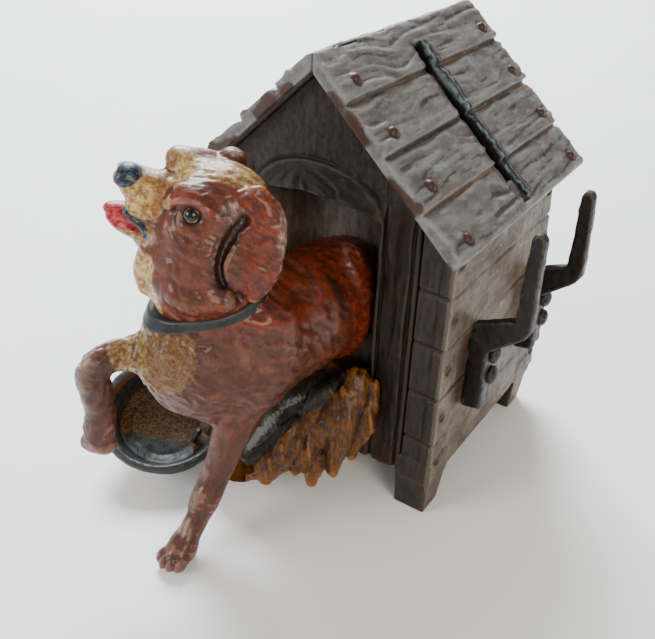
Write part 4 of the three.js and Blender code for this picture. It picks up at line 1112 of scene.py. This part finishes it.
def face_masks(casting):
    p = casting.vertices
    q = in_head(p)
    f, r, u = q.T
    near = np.stack([f, -np.abs(r), u], 1)
    high = fade(u, -6.6, -5.4)
    masks = casting.masks
    muzzle = fade(f + 0.25 * u + noise(q, 2.5, 401) * 1.2, 9.2, 11.4) * high
    blaze = fade(-np.abs(r + 0.6 - 0.15 * f), -4.4, -2.4) * fade(u, 2.0, 4.5) * fade(f, -8, -4)
    ahead = np.array([-math.sin(HEAD_TURN), -math.cos(HEAD_TURN), 0])
    out = p - (COLLAR + COLLAR_AXIS * 6)
    out = out - (out @ COLLAR_AXIS)[:, None] * COLLAR_AXIS
    throat = fade(out @ ahead / np.maximum(length(out), 1e-6), 0.7, 0.9) * fade(-u, 5.5, 8.0)
    masks["cream"] = np.maximum.reduce([muzzle, blaze, throat])
    gold_band = fade(-np.abs(r + 4.4 - 0.15 * f), -2.2, -0.5) * fade(u, 2.2, 4.0) * fade(f, -6, -3)
    masks["gold"] = np.maximum(gold_band, muzzle * fade(f, 8, 11) * fade(-f, -13.5, -10.5))
    # The shade mask darkens a patch round each eye, and is painted shade in the ear's groove and at the stop.
    eye = np.maximum(blob(q, EYES[0], (3.4, 2.6, 2.6)), blob(q, EYES[1], (3.4, 2.6, 2.6)))
    ear_hollow = fade(-limb(p, EAR_GROOVE, (0.84, 0.54, 0)), -1.8, 0.4)
    stop = blob(q, (9.2, -5.0, 2.2), (1.6, 1.6, 2.4))
    masks["shade"] = np.maximum.reduce([eye * 0.75, ear_hollow, stop * 0.7])
    nose = fade(-ball(q, (16.7, -0.6, 2.2), (2.6, 2.6, 2.4)), -0.35, 0.2)
    lips = fade(-line_near(near, LIP_LINE, 0.8, 1.6), -0.5, 0.3)
    masks["black"] = np.maximum(nose, lips)
    red = blob(q, (15.4, 0, -6.4), (6.0, 3.3, 2.2), soft=0.5)
    masks["red"] = red * (1 - masks["black"])
    arch = np.minimum(line_near(near, BROW_ARCH, 1.1, 2.0), line_near(near, UNDER_EYE, 0.9, 2.0))
    ear = np.exp(-((limb(p, NEAR_EAR, (0.84, 0.54, 0)) / 0.8) ** 2))
    low_neck = fade(-((p - COLLAR) @ COLLAR_AXIS), -7.0, -3.0) * (1 - throat)
    masks["orange"] = np.clip(fade(-arch, -0.6, 0.3) + ear * 0.75 + low_neck * 0.7, 0, 1)
    # Pale patches on the temple, the near ear's rim and the brows are painted highlights.
    temple = blob(q, (-0.5, -7.4, 5.2), (2.6, 2.4, 2.2), soft=1.5)
    rim = ear * fade(p[:, 0] + p[:, 1] * 0.6, -7.2, -5.2) * fade(p[:, 2], 61, 68)
    brows = blob(q, (8.6, 4.6, 7.2), (2.6, 2.2, 1.2)) + blob(q, (0.4, 7.2, 8.4), (2.2, 2.0, 1.4))
    masks["painted_highlight"] = np.clip(temple * 0.6 + rim * 0.6 + brows * 0.7, 0, 1)
    # The cheek gets a purple-grey painted sheen.
    masks["painted_sheen"] = blob(q, (2.5, -6.0, -6.0), (5.0, 4.0, 4.5), soft=3.0)


def body_masks(casting):
    p = casting.vertices
    x, y, z = p.T
    masks = casting.masks
    chest = blob(p, (-10.6, -34.0, 47.0), (10.2, 8.5, 9.6), soft=1.8) * fade(z, 33, 36)
    masks["cream"] = chest * fade(-x - 0.55 * y, 14.5, 20.0)
    masks["gold"] = masks["cream"] * fade(x + noise(p, 3, 405) * 2, -12.5, -8.0)
    hip = fade(y, -8, -3)
    masks["orange"] = np.clip(hip + fade(z, 48, 54) * fade(x, -4, 2) * 0.6, 0, 1)
    # The shade mask is painted shade in a crease on the body, low on the standing toes and on the raised paw.
    crease = blob(p, (9.5, -7.0, 52.0), (3.0, 1.4, 9.0), soft=1.2)
    toes = fade(-z, -3.4, -1.0) * fade(-y, 34, 37)
    foot = fade(-z, -29.5, -27.0) * fade(-x, 15, 17)
    masks["shade"] = np.clip(crease * 0.8 + toes * 0.6 + foot * 0.35, 0, 1)
    masks["black"] = np.zeros(len(p))
    masks["red"] = np.zeros(len(p))
    # Pale patches on the raised knee and the standing pastern are painted highlights.
    knee = blob(p, (-19.6, -43.6, 45.4), (3.4, 3.4, 2.6), soft=1.4)
    pastern = blob(p, (-5.0, -36.4, 6.2), (2.4, 2.6, 2.0), soft=1.4)
    masks["painted_highlight"] = np.clip(knee * 0.8 + pastern * 0.7, 0, 1)
    # The raised leg and the lower legs get a purple-grey painted sheen.
    masks["painted_sheen"] = np.clip(fade(-x, 12, 15) + fade(-z, -30, -22), 0, 1) * (1 - masks["cream"])


def hair_flow(point):
    """The way the hair lies: back over the ribs, and down the chest, neck and legs."""
    x, y, z = point
    if z > 56:
        return np.array([0.35, 0.35, -0.9])
    if z < 33:
        return np.array([-0.08, -0.45, -0.9])
    if x < -14 and y < -33:
        return np.array([-0.3, -0.8, -0.5])
    if x + 0.5 * y < -20:
        return np.array([0.75, -0.25, -0.6])
    return np.array([0.15, 0.75, -0.65])


def dog_finish():
    finish = Finish("dog_paint", coat_weight=0.3, coat_roughness=0.12, specular_ior_level=0.22)
    streaks = finish.noise(0.55, (1, 1, 2.2), detail=8.0, roughness=0.7)
    shade = finish.mix(finish.fade(streaks, 0.35, 0.65), "#4e200c", "#602e16")
    shade = finish.mix(finish.fade(finish.noise(3.0), 0.45, 0.68, 0.0, 0.7), shade, "#6b4030")
    shade = finish.mix(finish.fade(finish.noise(1.6), 0.56, 0.7, 0.0, 0.7), shade, "#35140b")
    orange = finish.mix(finish.fade(finish.noise(1.2), 0.38, 0.62), "#7a2a08", "#501705")
    shade = finish.mix(finish.sum("MULTIPLY", finish.ragged("orange", 1.6, 0.5, 0.3), 0.85), shade, orange)
    # Purple-grey painted sheen.
    painted_sheen = finish.mix(finish.fade(streaks, 0.35, 0.65), "#4a2f26", "#331e18")
    shade = finish.mix(finish.sum("MULTIPLY", finish.ragged("painted_sheen", 2.0, 0.4, 0.4), 0.5), shade, painted_sheen)
    shade = finish.mix(finish.sum("MULTIPLY", finish.ragged("shade", 0.9, 0.35, 0.3), 0.85), shade, "#1d0e09")
    cream = finish.mix(finish.fade(finish.noise(0.9, detail=8.0), 0.35, 0.62), "#bfa468", "#80592a")
    gold = finish.mix(finish.fade(finish.noise(0.5, detail=6.0), 0.42, 0.58), "#8f6128", "#5a3415")
    cream = finish.mix(finish.sum("MULTIPLY", finish.ragged("gold", 0.8, 0.5, 0.3), 0.85), cream, gold)
    specks = finish.fade(finish.noise(0.45, detail=3.0), 0.58, 0.66, 0.0, 0.6)
    cream = finish.mix(specks, cream, "#6b4a30")
    shade = finish.mix(finish.ragged("cream", 0.7, 0.45, 0.15), shade, cream)
    # Painted highlights.
    painted_highlight = finish.mix(finish.fade(streaks, 0.4, 0.6), "#b0a498", "#7c5a4a")
    shade = finish.mix(finish.sum("MULTIPLY", finish.ragged("painted_highlight", 0.9, 0.6, 0.25), 0.6), shade, painted_highlight)
    worn = finish.sum("MULTIPLY", finish.ragged("worn", 0.4, 0.5, 0.12), 0.5)
    shade = finish.mix(worn, shade, "#8a6553")
    # Painted shade and grime darken the hollows, and painted shade darkens the hair grooves.
    hollow_shade_and_grime = finish.sum("MULTIPLY", finish.ragged("hollow", 0.6, 0.3, 0.35), 0.7)
    groove_shade = finish.sum("MULTIPLY", finish.mask("groove"), 0.5)
    shade = finish.mix(finish.sum("MAXIMUM", hollow_shade_and_grime, groove_shade), shade, "#2b1710")
    mouth = finish.mix(finish.fade(finish.noise(0.9), 0.4, 0.6), "#7c101a", "#bb3a46")
    shade = finish.mix(finish.ragged("red", 0.5, 0.3, 0.15), shade, mouth)
    ink = finish.mix(finish.fade(finish.noise(0.8), 0.45, 0.62), "#12171d", "#3a4a58")
    shade = finish.mix(finish.ragged("black", 0.5, 0.3, 0.15), shade, ink)
    grains = finish.bump(streaks, 0.12, 0.7)
    cast = finish.bump(finish.noise(0.3, detail=3.0), 0.06, 0.9, grains)
    rough = finish.fade(finish.noise(0.9), 0.3, 0.7, 0.26, 0.5)
    return finish.paint(shade, rough, cast)


def collar_finish():
    finish = Finish("collar_paint", coat_weight=0.1, coat_roughness=0.2, specular_ior_level=0.25)
    shade = finish.mix(finish.fade(finish.noise(1.4, detail=8.0), 0.35, 0.65), "#15181a", "#1f2326")
    worn = finish.sum("MULTIPLY", finish.ragged("worn", 0.5, 0.5, 0.2), 0.6)
    shade = finish.mix(worn, shade, "#443e38")
    # Painted shade and grime darken the hollows.
    shade = finish.mix(finish.sum("MULTIPLY", finish.ragged("hollow", 0.6, 0.3, 0.3), 0.8), shade, "#050505")
    normal = finish.bump(finish.noise(0.35, detail=4.0), 0.08, 0.9)
    return finish.paint(shade, finish.fade(finish.noise(1.0), 0.3, 0.7, 0.28, 0.5), normal)


def make_eyes(finish_name):
    """Painted eyeballs: a black pupil in a dark ring, then amber and a pale rim."""
    for (f, r, u), word in zip(EYES, ("near", "far")):
        centre = HEAD + HEAD_AXES @ np.array([f, r, u])
        look = HEAD_AXES @ np.array([0.25, math.copysign(0.82, r), 0.5])
        look = look / np.linalg.norm(look)
        casting = Casting(
            lambda p, c=centre: ball(p, c, EYE_RADIUS) + noise(p, 0.9, 501) * 0.04,
            centre - 2.4,
            centre + 2.4,
            0.12,
        )
        away = (casting.vertices - centre) / EYE_RADIUS
        angle = np.degrees(np.arccos(np.clip(away @ look, -1, 1)))
        angle = angle + noise(casting.vertices, 0.8, 503) * 4
        casting.masks["pupil"] = fade(-angle, -37, -33)
        casting.masks["iris"] = fade(-angle, -40, -37)
        casting.masks["rim"] = fade(-angle, -52, -44)
        finish = Finish(f"eye_paint_{word}", coat_weight=0.25, coat_roughness=0.1, specular_ior_level=0.3)
        rim = finish.mix(finish.fade(finish.noise(0.5), 0.4, 0.6), "#86693a", "#24130b")
        shade = finish.mix(finish.ragged("rim", 0.5, 0.5, 0.2), "#1c100c", rim)
        shade = finish.mix(finish.mask("iris"), shade, finish.mix(finish.noise(0.4), "#2a180c", "#100b09"))
        shade = finish.mix(finish.mask("pupil"), shade, "#050608")
        material = finish.paint(shade, 0.22, finish.bump(finish.noise(0.3), 0.02, 0.5))
        casting.build(f"eye_{word}", material, finish_name, "bank", "dog")


def make_dog():
    finish = dog_finish()
    head = Casting(head_shape, (-26, -44, 50), (12, -10, 88), 0.27)
    head.weather(0.04, 0.3)
    face_masks(head)
    strokes = Strokes(head, 601)
    q = in_head(head.vertices)
    furry = (q[:, 0] < 8) & (length(q - np.array(EYES[0])) > 3.6) & (length(q - np.array(EYES[1])) > 3.6)
    strokes.lay(furry & (q[:, 2] > -4), lambda p: HEAD_AXES @ np.array([-1, 0, -0.25]), 520, 3.6, 0.6, 0.16)
    strokes.lay(furry & (q[:, 2] < -2), hair_flow, 300, 4.4, 0.65, 0.16)
    strokes.press()
    head.build("dog_head", finish, "dog_paint", "bank", "dog")
    make_eyes("dog_paint")

    body = Casting(body_shape, (-26, -48, -1), (16, 13.5, 59), 0.4)
    body.weather(0.05, 0.35)
    body_masks(body)
    strokes = Strokes(body, 607)
    x, _, z = body.vertices.T
    strokes.lay(z > 30, hair_flow, 1000, 3.8, 0.85, 0.26)
    strokes.lay(body.masks["cream"] > 0.3, hair_flow, 170, 7.5, 1.2, 0.7, 0.4)
    strokes.lay((z < 30) | (x < -14), hair_flow, 200, 5.0, 0.8, 0.14, 0.1)
    strokes.press()
    body.build("dog_body", finish, "dog_paint", "bank", "dog")

    collar = Casting(collar_shape, (-22, -41, 48), (10, -10, 63), 0.27)
    collar.weather(0.05, 0.3)
    collar.build("dog_collar", collar_finish(), "dog_paint", "bank", "dog")


# ---------------------------------------------------------------- the straw and the bowl

BOWL_RIM = np.array([-28.0, -17.9, 13.3])
BOWL_RADIUS, BOWL_HEIGHT, BOWL_WALL, BOWL_FOOT = 14.6, 9.0, 2.0, 8.8
BOWL_AXIS = np.array([0.321, -0.298, 0.899])
BOWL_AXIS = BOWL_AXIS / np.linalg.norm(BOWL_AXIS)


def bowl_places(points):
    """Distance from the bowl's axis, and height over its rim."""
    away = points - BOWL_RIM
    height = away @ BOWL_AXIS
    return np.sqrt(np.maximum(np.einsum("ij,ij->i", away, away) - height**2, 0)), height


def bowl_shape(points):
    radius, height = bowl_places(points)
    profile = [
        (-1.0, -BOWL_HEIGHT),
        (BOWL_FOOT, -BOWL_HEIGHT),
        (BOWL_FOOT + 2.4, -BOWL_HEIGHT * 0.72),
        (BOWL_RADIUS - 0.9, -BOWL_HEIGHT * 0.34),
        (BOWL_RADIUS - 0.3, -1.3),
        (BOWL_RADIUS - 0.5, -0.5),
        (BOWL_RADIUS - BOWL_WALL + 0.4, -0.4),
        (BOWL_RADIUS - BOWL_WALL - 0.2, -1.4),
        (BOWL_RADIUS - BOWL_WALL - 2.0, -BOWL_HEIGHT * 0.6),
        (BOWL_FOOT - 1, -BOWL_HEIGHT + BOWL_WALL),
        (-1.0, -BOWL_HEIGHT + BOWL_WALL),
    ]
    bowl = outline(radius, height, profile) - 0.25
    swell = clouds(points, 6, 701) * 0.35 + clouds(points, 1.6, 703) * 0.12
    return bowl + swell


def bowl_masks(casting):
    radius, height = bowl_places(casting.vertices)
    inside = fade(-radius, -(BOWL_RADIUS - BOWL_WALL + 0.5), -(BOWL_RADIUS - BOWL_WALL - 0.6))
    inside = inside * fade(height, -BOWL_HEIGHT + 0.8, -BOWL_HEIGHT + 1.6)
    inside = inside * fade(casting.normals @ BOWL_AXIS, 0.0, 0.3)
    x, y, _ = (casting.vertices - BOWL_RIM).T
    floor = inside * fade(-height, 3.6, 5.2)
    casting.masks["feed"] = floor * fade(y - 0.5 * x + noise(casting.vertices, 4, 711) * 4, -4.0, 4.0)
    casting.masks["inside"] = inside
    lip = np.exp(-(((radius - BOWL_RADIUS + BOWL_WALL + 0.1) / 0.55) ** 2)) * fade(height, -2.6, -1.0)
    casting.masks["copper"] = lip * fade(-x, -2, 6)


def bowl_finish():
    finish = Finish("bowl_paint", coat_weight=0.12, coat_roughness=0.2, specular_ior_level=0.25)
    shade = finish.mix(finish.fade(finish.noise(1.5, detail=8.0), 0.35, 0.65), "#141617", "#1f2120")
    shade = finish.mix(finish.fade(finish.noise(3.0), 0.5, 0.7, 0.0, 0.6), shade, "#221c17")
    inner = finish.mix(finish.fade(finish.noise(1.2), 0.4, 0.6), "#1f2222", "#303432")
    shade = finish.mix(finish.ragged("inside", 1.0, 0.2, 0.2), shade, inner)
    feed = finish.mix(finish.fade(finish.noise(0.5, detail=6.0), 0.42, 0.58), "#67471f", "#2a1d0b")
    shade = finish.mix(finish.sum("MULTIPLY", finish.ragged("feed", 0.7, 0.6, 0.2), 0.85), shade, feed)
    shade = finish.mix(finish.ragged("copper", 0.8, 0.4, 0.2), shade, "#673e21")
    worn = finish.sum("MULTIPLY", finish.ragged("worn", 0.5, 0.5, 0.2), 0.6)
    shade = finish.mix(worn, shade, "#404240")
    # Painted shade and grime darken the hollows.
    hollow_shade_and_grime = finish.sum("MULTIPLY", finish.ragged("hollow", 0.8, 0.25, 0.35), 0.7)
    shade = finish.mix(hollow_shade_and_grime, shade, "#100e0b")
    grains = finish.bump(finish.noise(0.9, detail=6.0), 0.2, 0.8)
    cast = finish.bump(finish.noise(0.3, detail=3.0), 0.07, 0.9, grains)
    return finish.paint(shade, finish.fade(finish.noise(1.2), 0.3, 0.7, 0.3, 0.52), cast)


def make_bowl():
    low, high = place("food_bowl")
    casting = Casting(bowl_shape, low - 1, high + 1, 0.36)
    casting.weather()
    bowl_masks(casting)
    casting.build("food_bowl_cast", bowl_finish(), "bowl_paint", "bank", "food_bowl")


TUFTS = [
    [(9.6, -7, 27.5), (4.6, -14.4, 17.6), (0.6, -17.6, 8.8), 2.9],
    [(12.4, -6, 29), (9.4, -11.6, 20), (6.0, -14.6, 12), 2.8],
    [(13.4, -2.6, 31.5), (13.2, -8.6, 22.6), (12.6, -10.8, 12.6), 3.0],
    [(14.6, -1.6, 30), (15.6, -4.6, 22), (15.2, -7.2, 15.5), 2.6],
    [(4.0, -12, 20), (0.2, -16.2, 13.6), (-4.2, -18.8, 9.4), 2.4],
    [(-2, -13, 15), (-4.4, -17.6, 11), (-8.0, -19.4, 8.0), 2.3],
    [(8, -10, 19), (9.8, -12.2, 14), (9.4, -13.2, 9.6), 2.3],
    [(10.4, -3, 31.5), (8.2, -8.4, 29), (5.2, -11.4, 25), 1.6],
    [(-10, -4, 26), (-15, -6, 20), (-16.5, -7, 14), 2.8],
    [(-12, -7, 20), (-16, -9, 15), (-17, -10, 10.5), 2.8],
]
TRAY = [(-7, -18.2, 11), (-4.1, -16.4, 15.4), (0.3, -14.0, 23), (4.0, -11.0, 27.8), (8.4, -5, 31)]


def straw_core(points):
    """The ramp that the straw lies on, from the doorway down to the bowl."""
    ramp = [(0, 12, 19, 12.6, 4.6), (0.0, -1, 23.5, 12.4, 8.2), (-1.4, -6, 20.3, 12.2, 7.2)]
    ramp += [(-6.5, -12, 12.4, 10.0, 5.0), (-11.5, -17, 8.8, 7.0, 3.6)]
    return np.maximum(limb(points, ramp, (1, 0, 0)), points[:, 1] - 12)


def straw_shape(points):
    core = straw_core(points) + clouds(points, 3, 801) * 0.4
    straw = core
    for root, middle, tip, width in TUFTS:
        stations = [(*root, width, width * 0.7), (*middle, width * 1.1, width * 0.9)]
        stations.append((*tip, width * 0.5, width * 0.5))
        straw = merge(straw, limb(points, stations, (0.8, 0.6, 0.2)), 0.25)
    flow = np.array([0.35, -0.5, -0.79])
    side = np.array([0.82, 0.57, 0.0])
    normal = np.cross(flow, side)
    along, across, height = points @ flow, points @ side, points @ normal
    strands = wood_grain(along, across + 0.35 * height, height, 811, 2.1) * 0.85
    straw = straw - strands * fade(core, -0.2, 0.8) + clouds(points, 1.4, 813) * 0.15
    low, _ = place("straw_bed")
    radius, rim = bowl_places(points)
    bowl = np.maximum(radius - BOWL_RADIUS + 0.4, -rim - BOWL_HEIGHT)
    straw = np.maximum(straw, -bowl)
    doorway = np.where(points[:, 1] > -0.3, np.abs(points[:, 0]) - DOOR_HALF + 0.5, -1.0)
    sill = np.where(points[:, 1] > -0.3, DOOR_SILL + 0.3 - points[:, 2], -1.0)
    return np.maximum.reduce([straw, doorway, sill, low[2] - points[:, 2]])


def straw_masks(casting):
    _, y, z = casting.vertices.T
    tray = limb(casting.vertices, [(*station, 2.2, 3.4) for station in TRAY], (0.8, 0.5, 0.3))
    casting.masks["tray"] = np.maximum(fade(-tray, -2.2, -0.8), fade(y, -1.5, 1.0))
    # A grey streak along the tray is a painted highlight.
    casting.masks["painted_tray_highlight"] = 0.75 * fade(-tray, 0.4, 1.8) * fade(z, 12, 15) * fade(-z, -29.5, -26)
    casting.masks["tips"] = fade(-z + noise(casting.vertices, 3, 823) * 3, -14, -9)


def straw_finish():
    finish = Finish("straw_paint", coat_weight=0.15, coat_roughness=0.16, specular_ior_level=0.22)
    streaks = finish.noise(0.5, (1.5, 1.5, 4), detail=8.0, roughness=0.7)
    shade = finish.mix(finish.fade(streaks, 0.38, 0.62), "#653a06", "#351a04")
    shade = finish.mix(finish.fade(finish.noise(2.4), 0.48, 0.66, 0.0, 0.75), shade, "#1e0c03")
    shade = finish.mix(finish.sum("MULTIPLY", finish.ragged("tips", 1.0, 0.5, 0.3), 0.6), shade, "#71430b")
    worn = finish.sum("MULTIPLY", finish.ragged("worn", 0.5, 0.5, 0.15), 0.8)
    shade = finish.mix(worn, shade, "#855311")
    tray = finish.mix(finish.fade(finish.noise(0.8, detail=6.0), 0.4, 0.6), "#100d06", "#271d0d")
    shade = finish.mix(finish.ragged("tray", 1.0, 0.4, 0.25), shade, tray)
    # Painted highlight along the tray.
    shade = finish.mix(finish.ragged("painted_tray_highlight", 0.6, 0.8, 0.15), shade, "#64675e")
    # Painted shade and grime darken the hollows.
    hollow_shade_and_grime = finish.sum("MULTIPLY", finish.ragged("hollow", 0.8, 0.25, 0.3), 0.92)
    shade = finish.mix(hollow_shade_and_grime, shade, "#0d0804")
    grains = finish.bump(streaks, 0.2, 0.9)
    cast = finish.bump(finish.noise(0.3, detail=3.0), 0.07, 0.9, grains)
    return finish.paint(shade, finish.fade(finish.noise(1.0), 0.3, 0.7, 0.26, 0.5), cast)


def make_straw():
    low, high = place("straw_bed")
    casting = Casting(straw_shape, low - 1.5, high + 1.5, 0.36)
    casting.weather(0.08, 0.5)
    straw_masks(casting)
    casting.build("straw_cast", straw_finish(), "straw_paint", "bank", "straw_bed")


# ---------------------------------------------------------------- brackets and fastenings

LEG_THICK = 3.8
LEG_LOW = 24.0
BRACKET_PLATE, BRACKET_LEG = 2.4, 5.8
PRONG_TOPS = {"front": 67.2, "rear": 65.8}


def bracket_shape(y_low, top, seed):
    wall = HALF_WIDTH + 0.3
    out = wall + LEG_THICK
    hook = [(wall, LEG_LOW), (out, LEG_LOW + 0.6), (out - 0.4, 38.4)]
    hook += [(wall + 10.8, 44.4), (wall + 11.7, 46.2)]
    hook += [(wall + 11.8, 49), (wall + 11, top - 1.6), (wall + 10.2, top - 0.4), (wall + 9.0, top - 0.4)]
    hook += [(wall + 8.3, top - 1.6), (wall + 8.2, 47.8), (wall, 44.2)]
    leg = [(wall, LEG_LOW), (out, LEG_LOW + 0.6), (out - 0.4, 40), (wall, 42)]

    def shape(points):
        x, y, z = points.T
        bent = noise(points, (9, 9, 9), seed) * 0.25
        flat = outline(x + bent, z, hook)
        thin = np.abs(y - y_low - BRACKET_PLATE / 2) - BRACKET_PLATE / 2
        plate = rounded(flat, thin, 0.5)
        thick = np.abs(y - y_low - BRACKET_LEG / 2) - BRACKET_LEG / 2
        stout = rounded(outline(x, z, leg), thick, 0.5)
        body = merge(plate, stout, 0.8)
        return np.maximum(body + clouds(points, 1.8, seed + 3) * 0.18 - 0.05, wall - 0.25 - x)

    return shape


def rounded(first, second, radius):
    """The space that two shapes share, with its outer edge rounded."""
    a, b = first + radius, second + radius
    return np.hypot(np.maximum(a, 0), np.maximum(b, 0)) + np.minimum(np.maximum(a, b), 0) - radius


def bracket_finish():
    return old_paint(
        "bracket_paint", "#1d1612", "#110e0c", "#060504", "#443c34", 0.8, (1, 1, 3), 0.8, 0.38, "#351c11"
    )


def make_brackets():
    finish = bracket_finish()
    for number, (word, top) in enumerate(PRONG_TOPS.items()):
        low, high = place(f"bracket_{word}")
        casting = Casting(bracket_shape(low[1], top, 901 + 20 * number), low - 1, high + 1, 0.26)
        casting.weather()
        casting.build(f"bracket_{word}_cast", finish, "bracket_paint", "bank", f"bracket_{word}")
    for word in PRONG_TOPS:
        for level in ("upper", "lower"):
            make_rivet(f"rivet_{word}_{level}", finish)


def make_rivet(node, finish):
    """A hammered rivet head on the bracket's leg, with its shank through the wall."""
    low, high = place(node)
    middle = (low + high) / 2
    seed = int(middle[1] * 10 + middle[2])

    def shape(points):
        x, y, z = points.T
        radius = np.hypot(y - middle[1], z - middle[2])
        head = ball(points, (high[0] - 1.1, middle[1], middle[2]), (1.2, 2.0, 2.0))
        shank = np.maximum(radius - 1.2, np.abs(x - middle[0]) - (high[0] - low[0]) / 2 + 0.6)
        inner = ball(points, (low[0] + 0.7, middle[1], middle[2]), (0.7, 1.7, 1.7))
        return merge(merge(head, shank, 0.2), inner, 0.2) + clouds(points, 0.9, seed) * 0.12

    casting = Casting(shape, low - 0.8, high + 0.8, 0.18)
    casting.weather(0.03, 0.2)
    casting.build(f"{node}_head", finish, "bracket_paint", "bank", node)


def make_screws():
    """The slotted and domed heads that show from below."""
    finish = iron_finish()
    for node in ("tie_bolt_left", "tie_bolt_right"):
        low, high = place(node)
        middle = (low + high) / 2
        angle = 0.5 if node.endswith("left") else -0.9

        def shape(points, low=low, high=high, middle=middle, angle=angle):
            x, y, z = (points - (middle[0], middle[1], low[2])).T
            radius = np.hypot(x, y)
            head = rounded(radius - 3.4, np.abs(z - 0.9) - 0.9, 0.5)
            half = (high[2] - low[2]) / 2
            shank = np.maximum(radius - 1.7, np.abs(z - half) - half + 0.1)
            slot = np.maximum(np.abs(x * math.sin(angle) + y * math.cos(angle)) - 0.5, z - 0.9)
            return carve(merge(head, shank, 0.3), slot, 0.2) + clouds(points, 1.2, 941) * 0.1

        casting = Casting(shape, low - 0.8, high + 0.8, 0.3)
        casting.weather(0.03, 0.2)
        casting.build(f"{node}_turned", finish, "bare_iron", "bank", node)
    for name in ("base_plate", "trap_cover", "trap_rivet", "floor_screw_left", "floor_screw_right"):
        dress(name, finish)
    for name in ("recess_screw_left", "recess_screw_right", "dog_screw", "straw_screw", "bowl_screw"):
        dress(name, finish)


def dress(name, material):
    """Gives a CAD node a finished material."""
    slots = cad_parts[name].data.materials
    slots.clear()
    slots.append(material)


def iron_finish():
    finish = Finish("bare_iron", metallic=0.6, coat_weight=0.1, specular_ior_level=0.5)
    patches = finish.noise(3.5, detail=6.0)
    shade = finish.mix(finish.fade(patches, 0.42, 0.6), "#3d3834", "#56483c")
    shade = finish.mix(finish.fade(finish.noise(1.1, detail=6.0), 0.55, 0.68, 0.0, 0.8), shade, "#6a4128")
    worn = finish.sum("MULTIPLY", finish.ragged("worn", 0.4, 0.5, 0.2), 0.7)
    shade = finish.mix(worn, shade, "#8b8680")
    # Painted shade and grime darken the hollows.
    shade = finish.mix(finish.sum("MULTIPLY", finish.mask("hollow"), 0.8), shade, "#17120e")
    grains = finish.bump(finish.noise(0.8, detail=6.0), 0.12, 0.8)
    cast = finish.bump(finish.noise(0.25, detail=3.0), 0.05, 0.9, grains)
    return finish.paint(shade, finish.fade(patches, 0.3, 0.7, 0.4, 0.68), cast)


def recess_finish():
    return old_paint("recess_paint", "#75685d", "#51463e", "#14100e", "#6b6259", 1.2, (1, 2, 3))


# ---------------------------------------------------------------- the camera, light and stage

CAMERA = {"place": (81.6, -121.2, 132.0), "yaw": 32.858, "pitch": 32.289, "roll": -2.237, "lens": 45.47}


def make_camera():
    yaw, pitch, roll = (math.radians(CAMERA[key]) for key in ("yaw", "pitch", "roll"))
    ahead = Vector((-math.sin(yaw) * math.cos(pitch), math.cos(yaw) * math.cos(pitch), -math.sin(pitch)))
    level = Vector((math.cos(yaw), math.sin(yaw), 0))
    down = ahead.cross(level)
    right = level * math.cos(roll) + down * math.sin(roll)
    below = down * math.cos(roll) - level * math.sin(roll)
    data = bpy.data.cameras.new("camera")
    data.lens = CAMERA["lens"]
    data.sensor_width = 36
    data.clip_start = 0.005
    camera = bpy.data.objects.new("camera", data)
    turn = Matrix((right, -below, -ahead)).transposed().to_4x4()
    turn.translation = Vector(HOME + np.array(CAMERA["place"]) * MM)
    camera.matrix_world = turn
    bpy.context.scene.collection.objects.link(camera)
    bpy.context.scene.camera = camera


def make_stage():
    """A pale floor that curves up into a pale backdrop."""
    size, rise = 1.6, 0.5
    profile = [(-size, 0.0)]
    for angle in np.linspace(0, math.pi / 2, 16):
        profile.append((0.55 + rise * math.sin(angle), rise - rise * math.cos(angle)))
    profile += [(0.55 + rise, 1.6)]
    vertices = [(x, y, z) for y, z in profile for x in (-size, size)]
    faces = [(2 * n, 2 * n + 1, 2 * n + 3, 2 * n + 2) for n in range(len(profile) - 1)]
    mesh = bpy.data.meshes.new("floor")
    mesh.from_pydata(vertices, [], faces)
    mesh.shade_smooth()
    floor = bpy.data.objects.new("floor", mesh)
    floor.location.z = -1e-4
    floor.rotation_euler.z = math.radians(CAMERA["yaw"])
    bpy.context.scene.collection.objects.link(floor)
    finish = Finish("floor", specular_ior_level=0.3)
    tone = finish.mix(finish.fade(finish.noise(60.0, detail=2.0), 0.3, 0.7), "#f3f4f2", "#f7f7f4")
    mesh.materials.append(finish.paint(tone, 0.5, finish.bump(finish.noise(3.0), 0.02, 0.2)))


def light(name, place_at, target, size, power, tint):
    data = bpy.data.lights.new(name, "AREA")
    data.shape = "DISK"
    data.size = size
    data.energy = power
    data.color = colour(tint)[:3]
    lamp = bpy.data.objects.new(name, data)
    lamp.location = place_at
    lamp.rotation_euler = (Vector(target) - Vector(place_at)).to_track_quat("-Z", "Y").to_euler()
    bpy.context.scene.collection.objects.link(lamp)


def make_lights():
    middle = (0, 0, 0.04)
    light("window", (-0.55, 0.55, 0.75), middle, 0.6, 27.0, "#f2f7ff")
    light("fill", (0.75, -0.5, 0.55), middle, 0.5, 6.0, "#fff0dc")
    light("front", (-0.5, -0.8, 0.5), middle, 0.5, 6.6, "#f6f8ff")
    world = bpy.data.worlds.new("studio")
    bpy.context.scene.world = world
    world.use_nodes = True
    world.node_tree.nodes["Background"].inputs["Color"].default_value = colour("#eef0f2")
    world.node_tree.nodes["Background"].inputs["Strength"].default_value = 0.6


make_camera()
make_stage()
make_lights()
make_roof()
boards = wall_finish()
make_side_walls(boards)
make_front_wall()
make_back_wall(boards)
dress("doorway_recess", recess_finish())
make_dog()
make_straw()
make_bowl()
make_brackets()
make_screws()
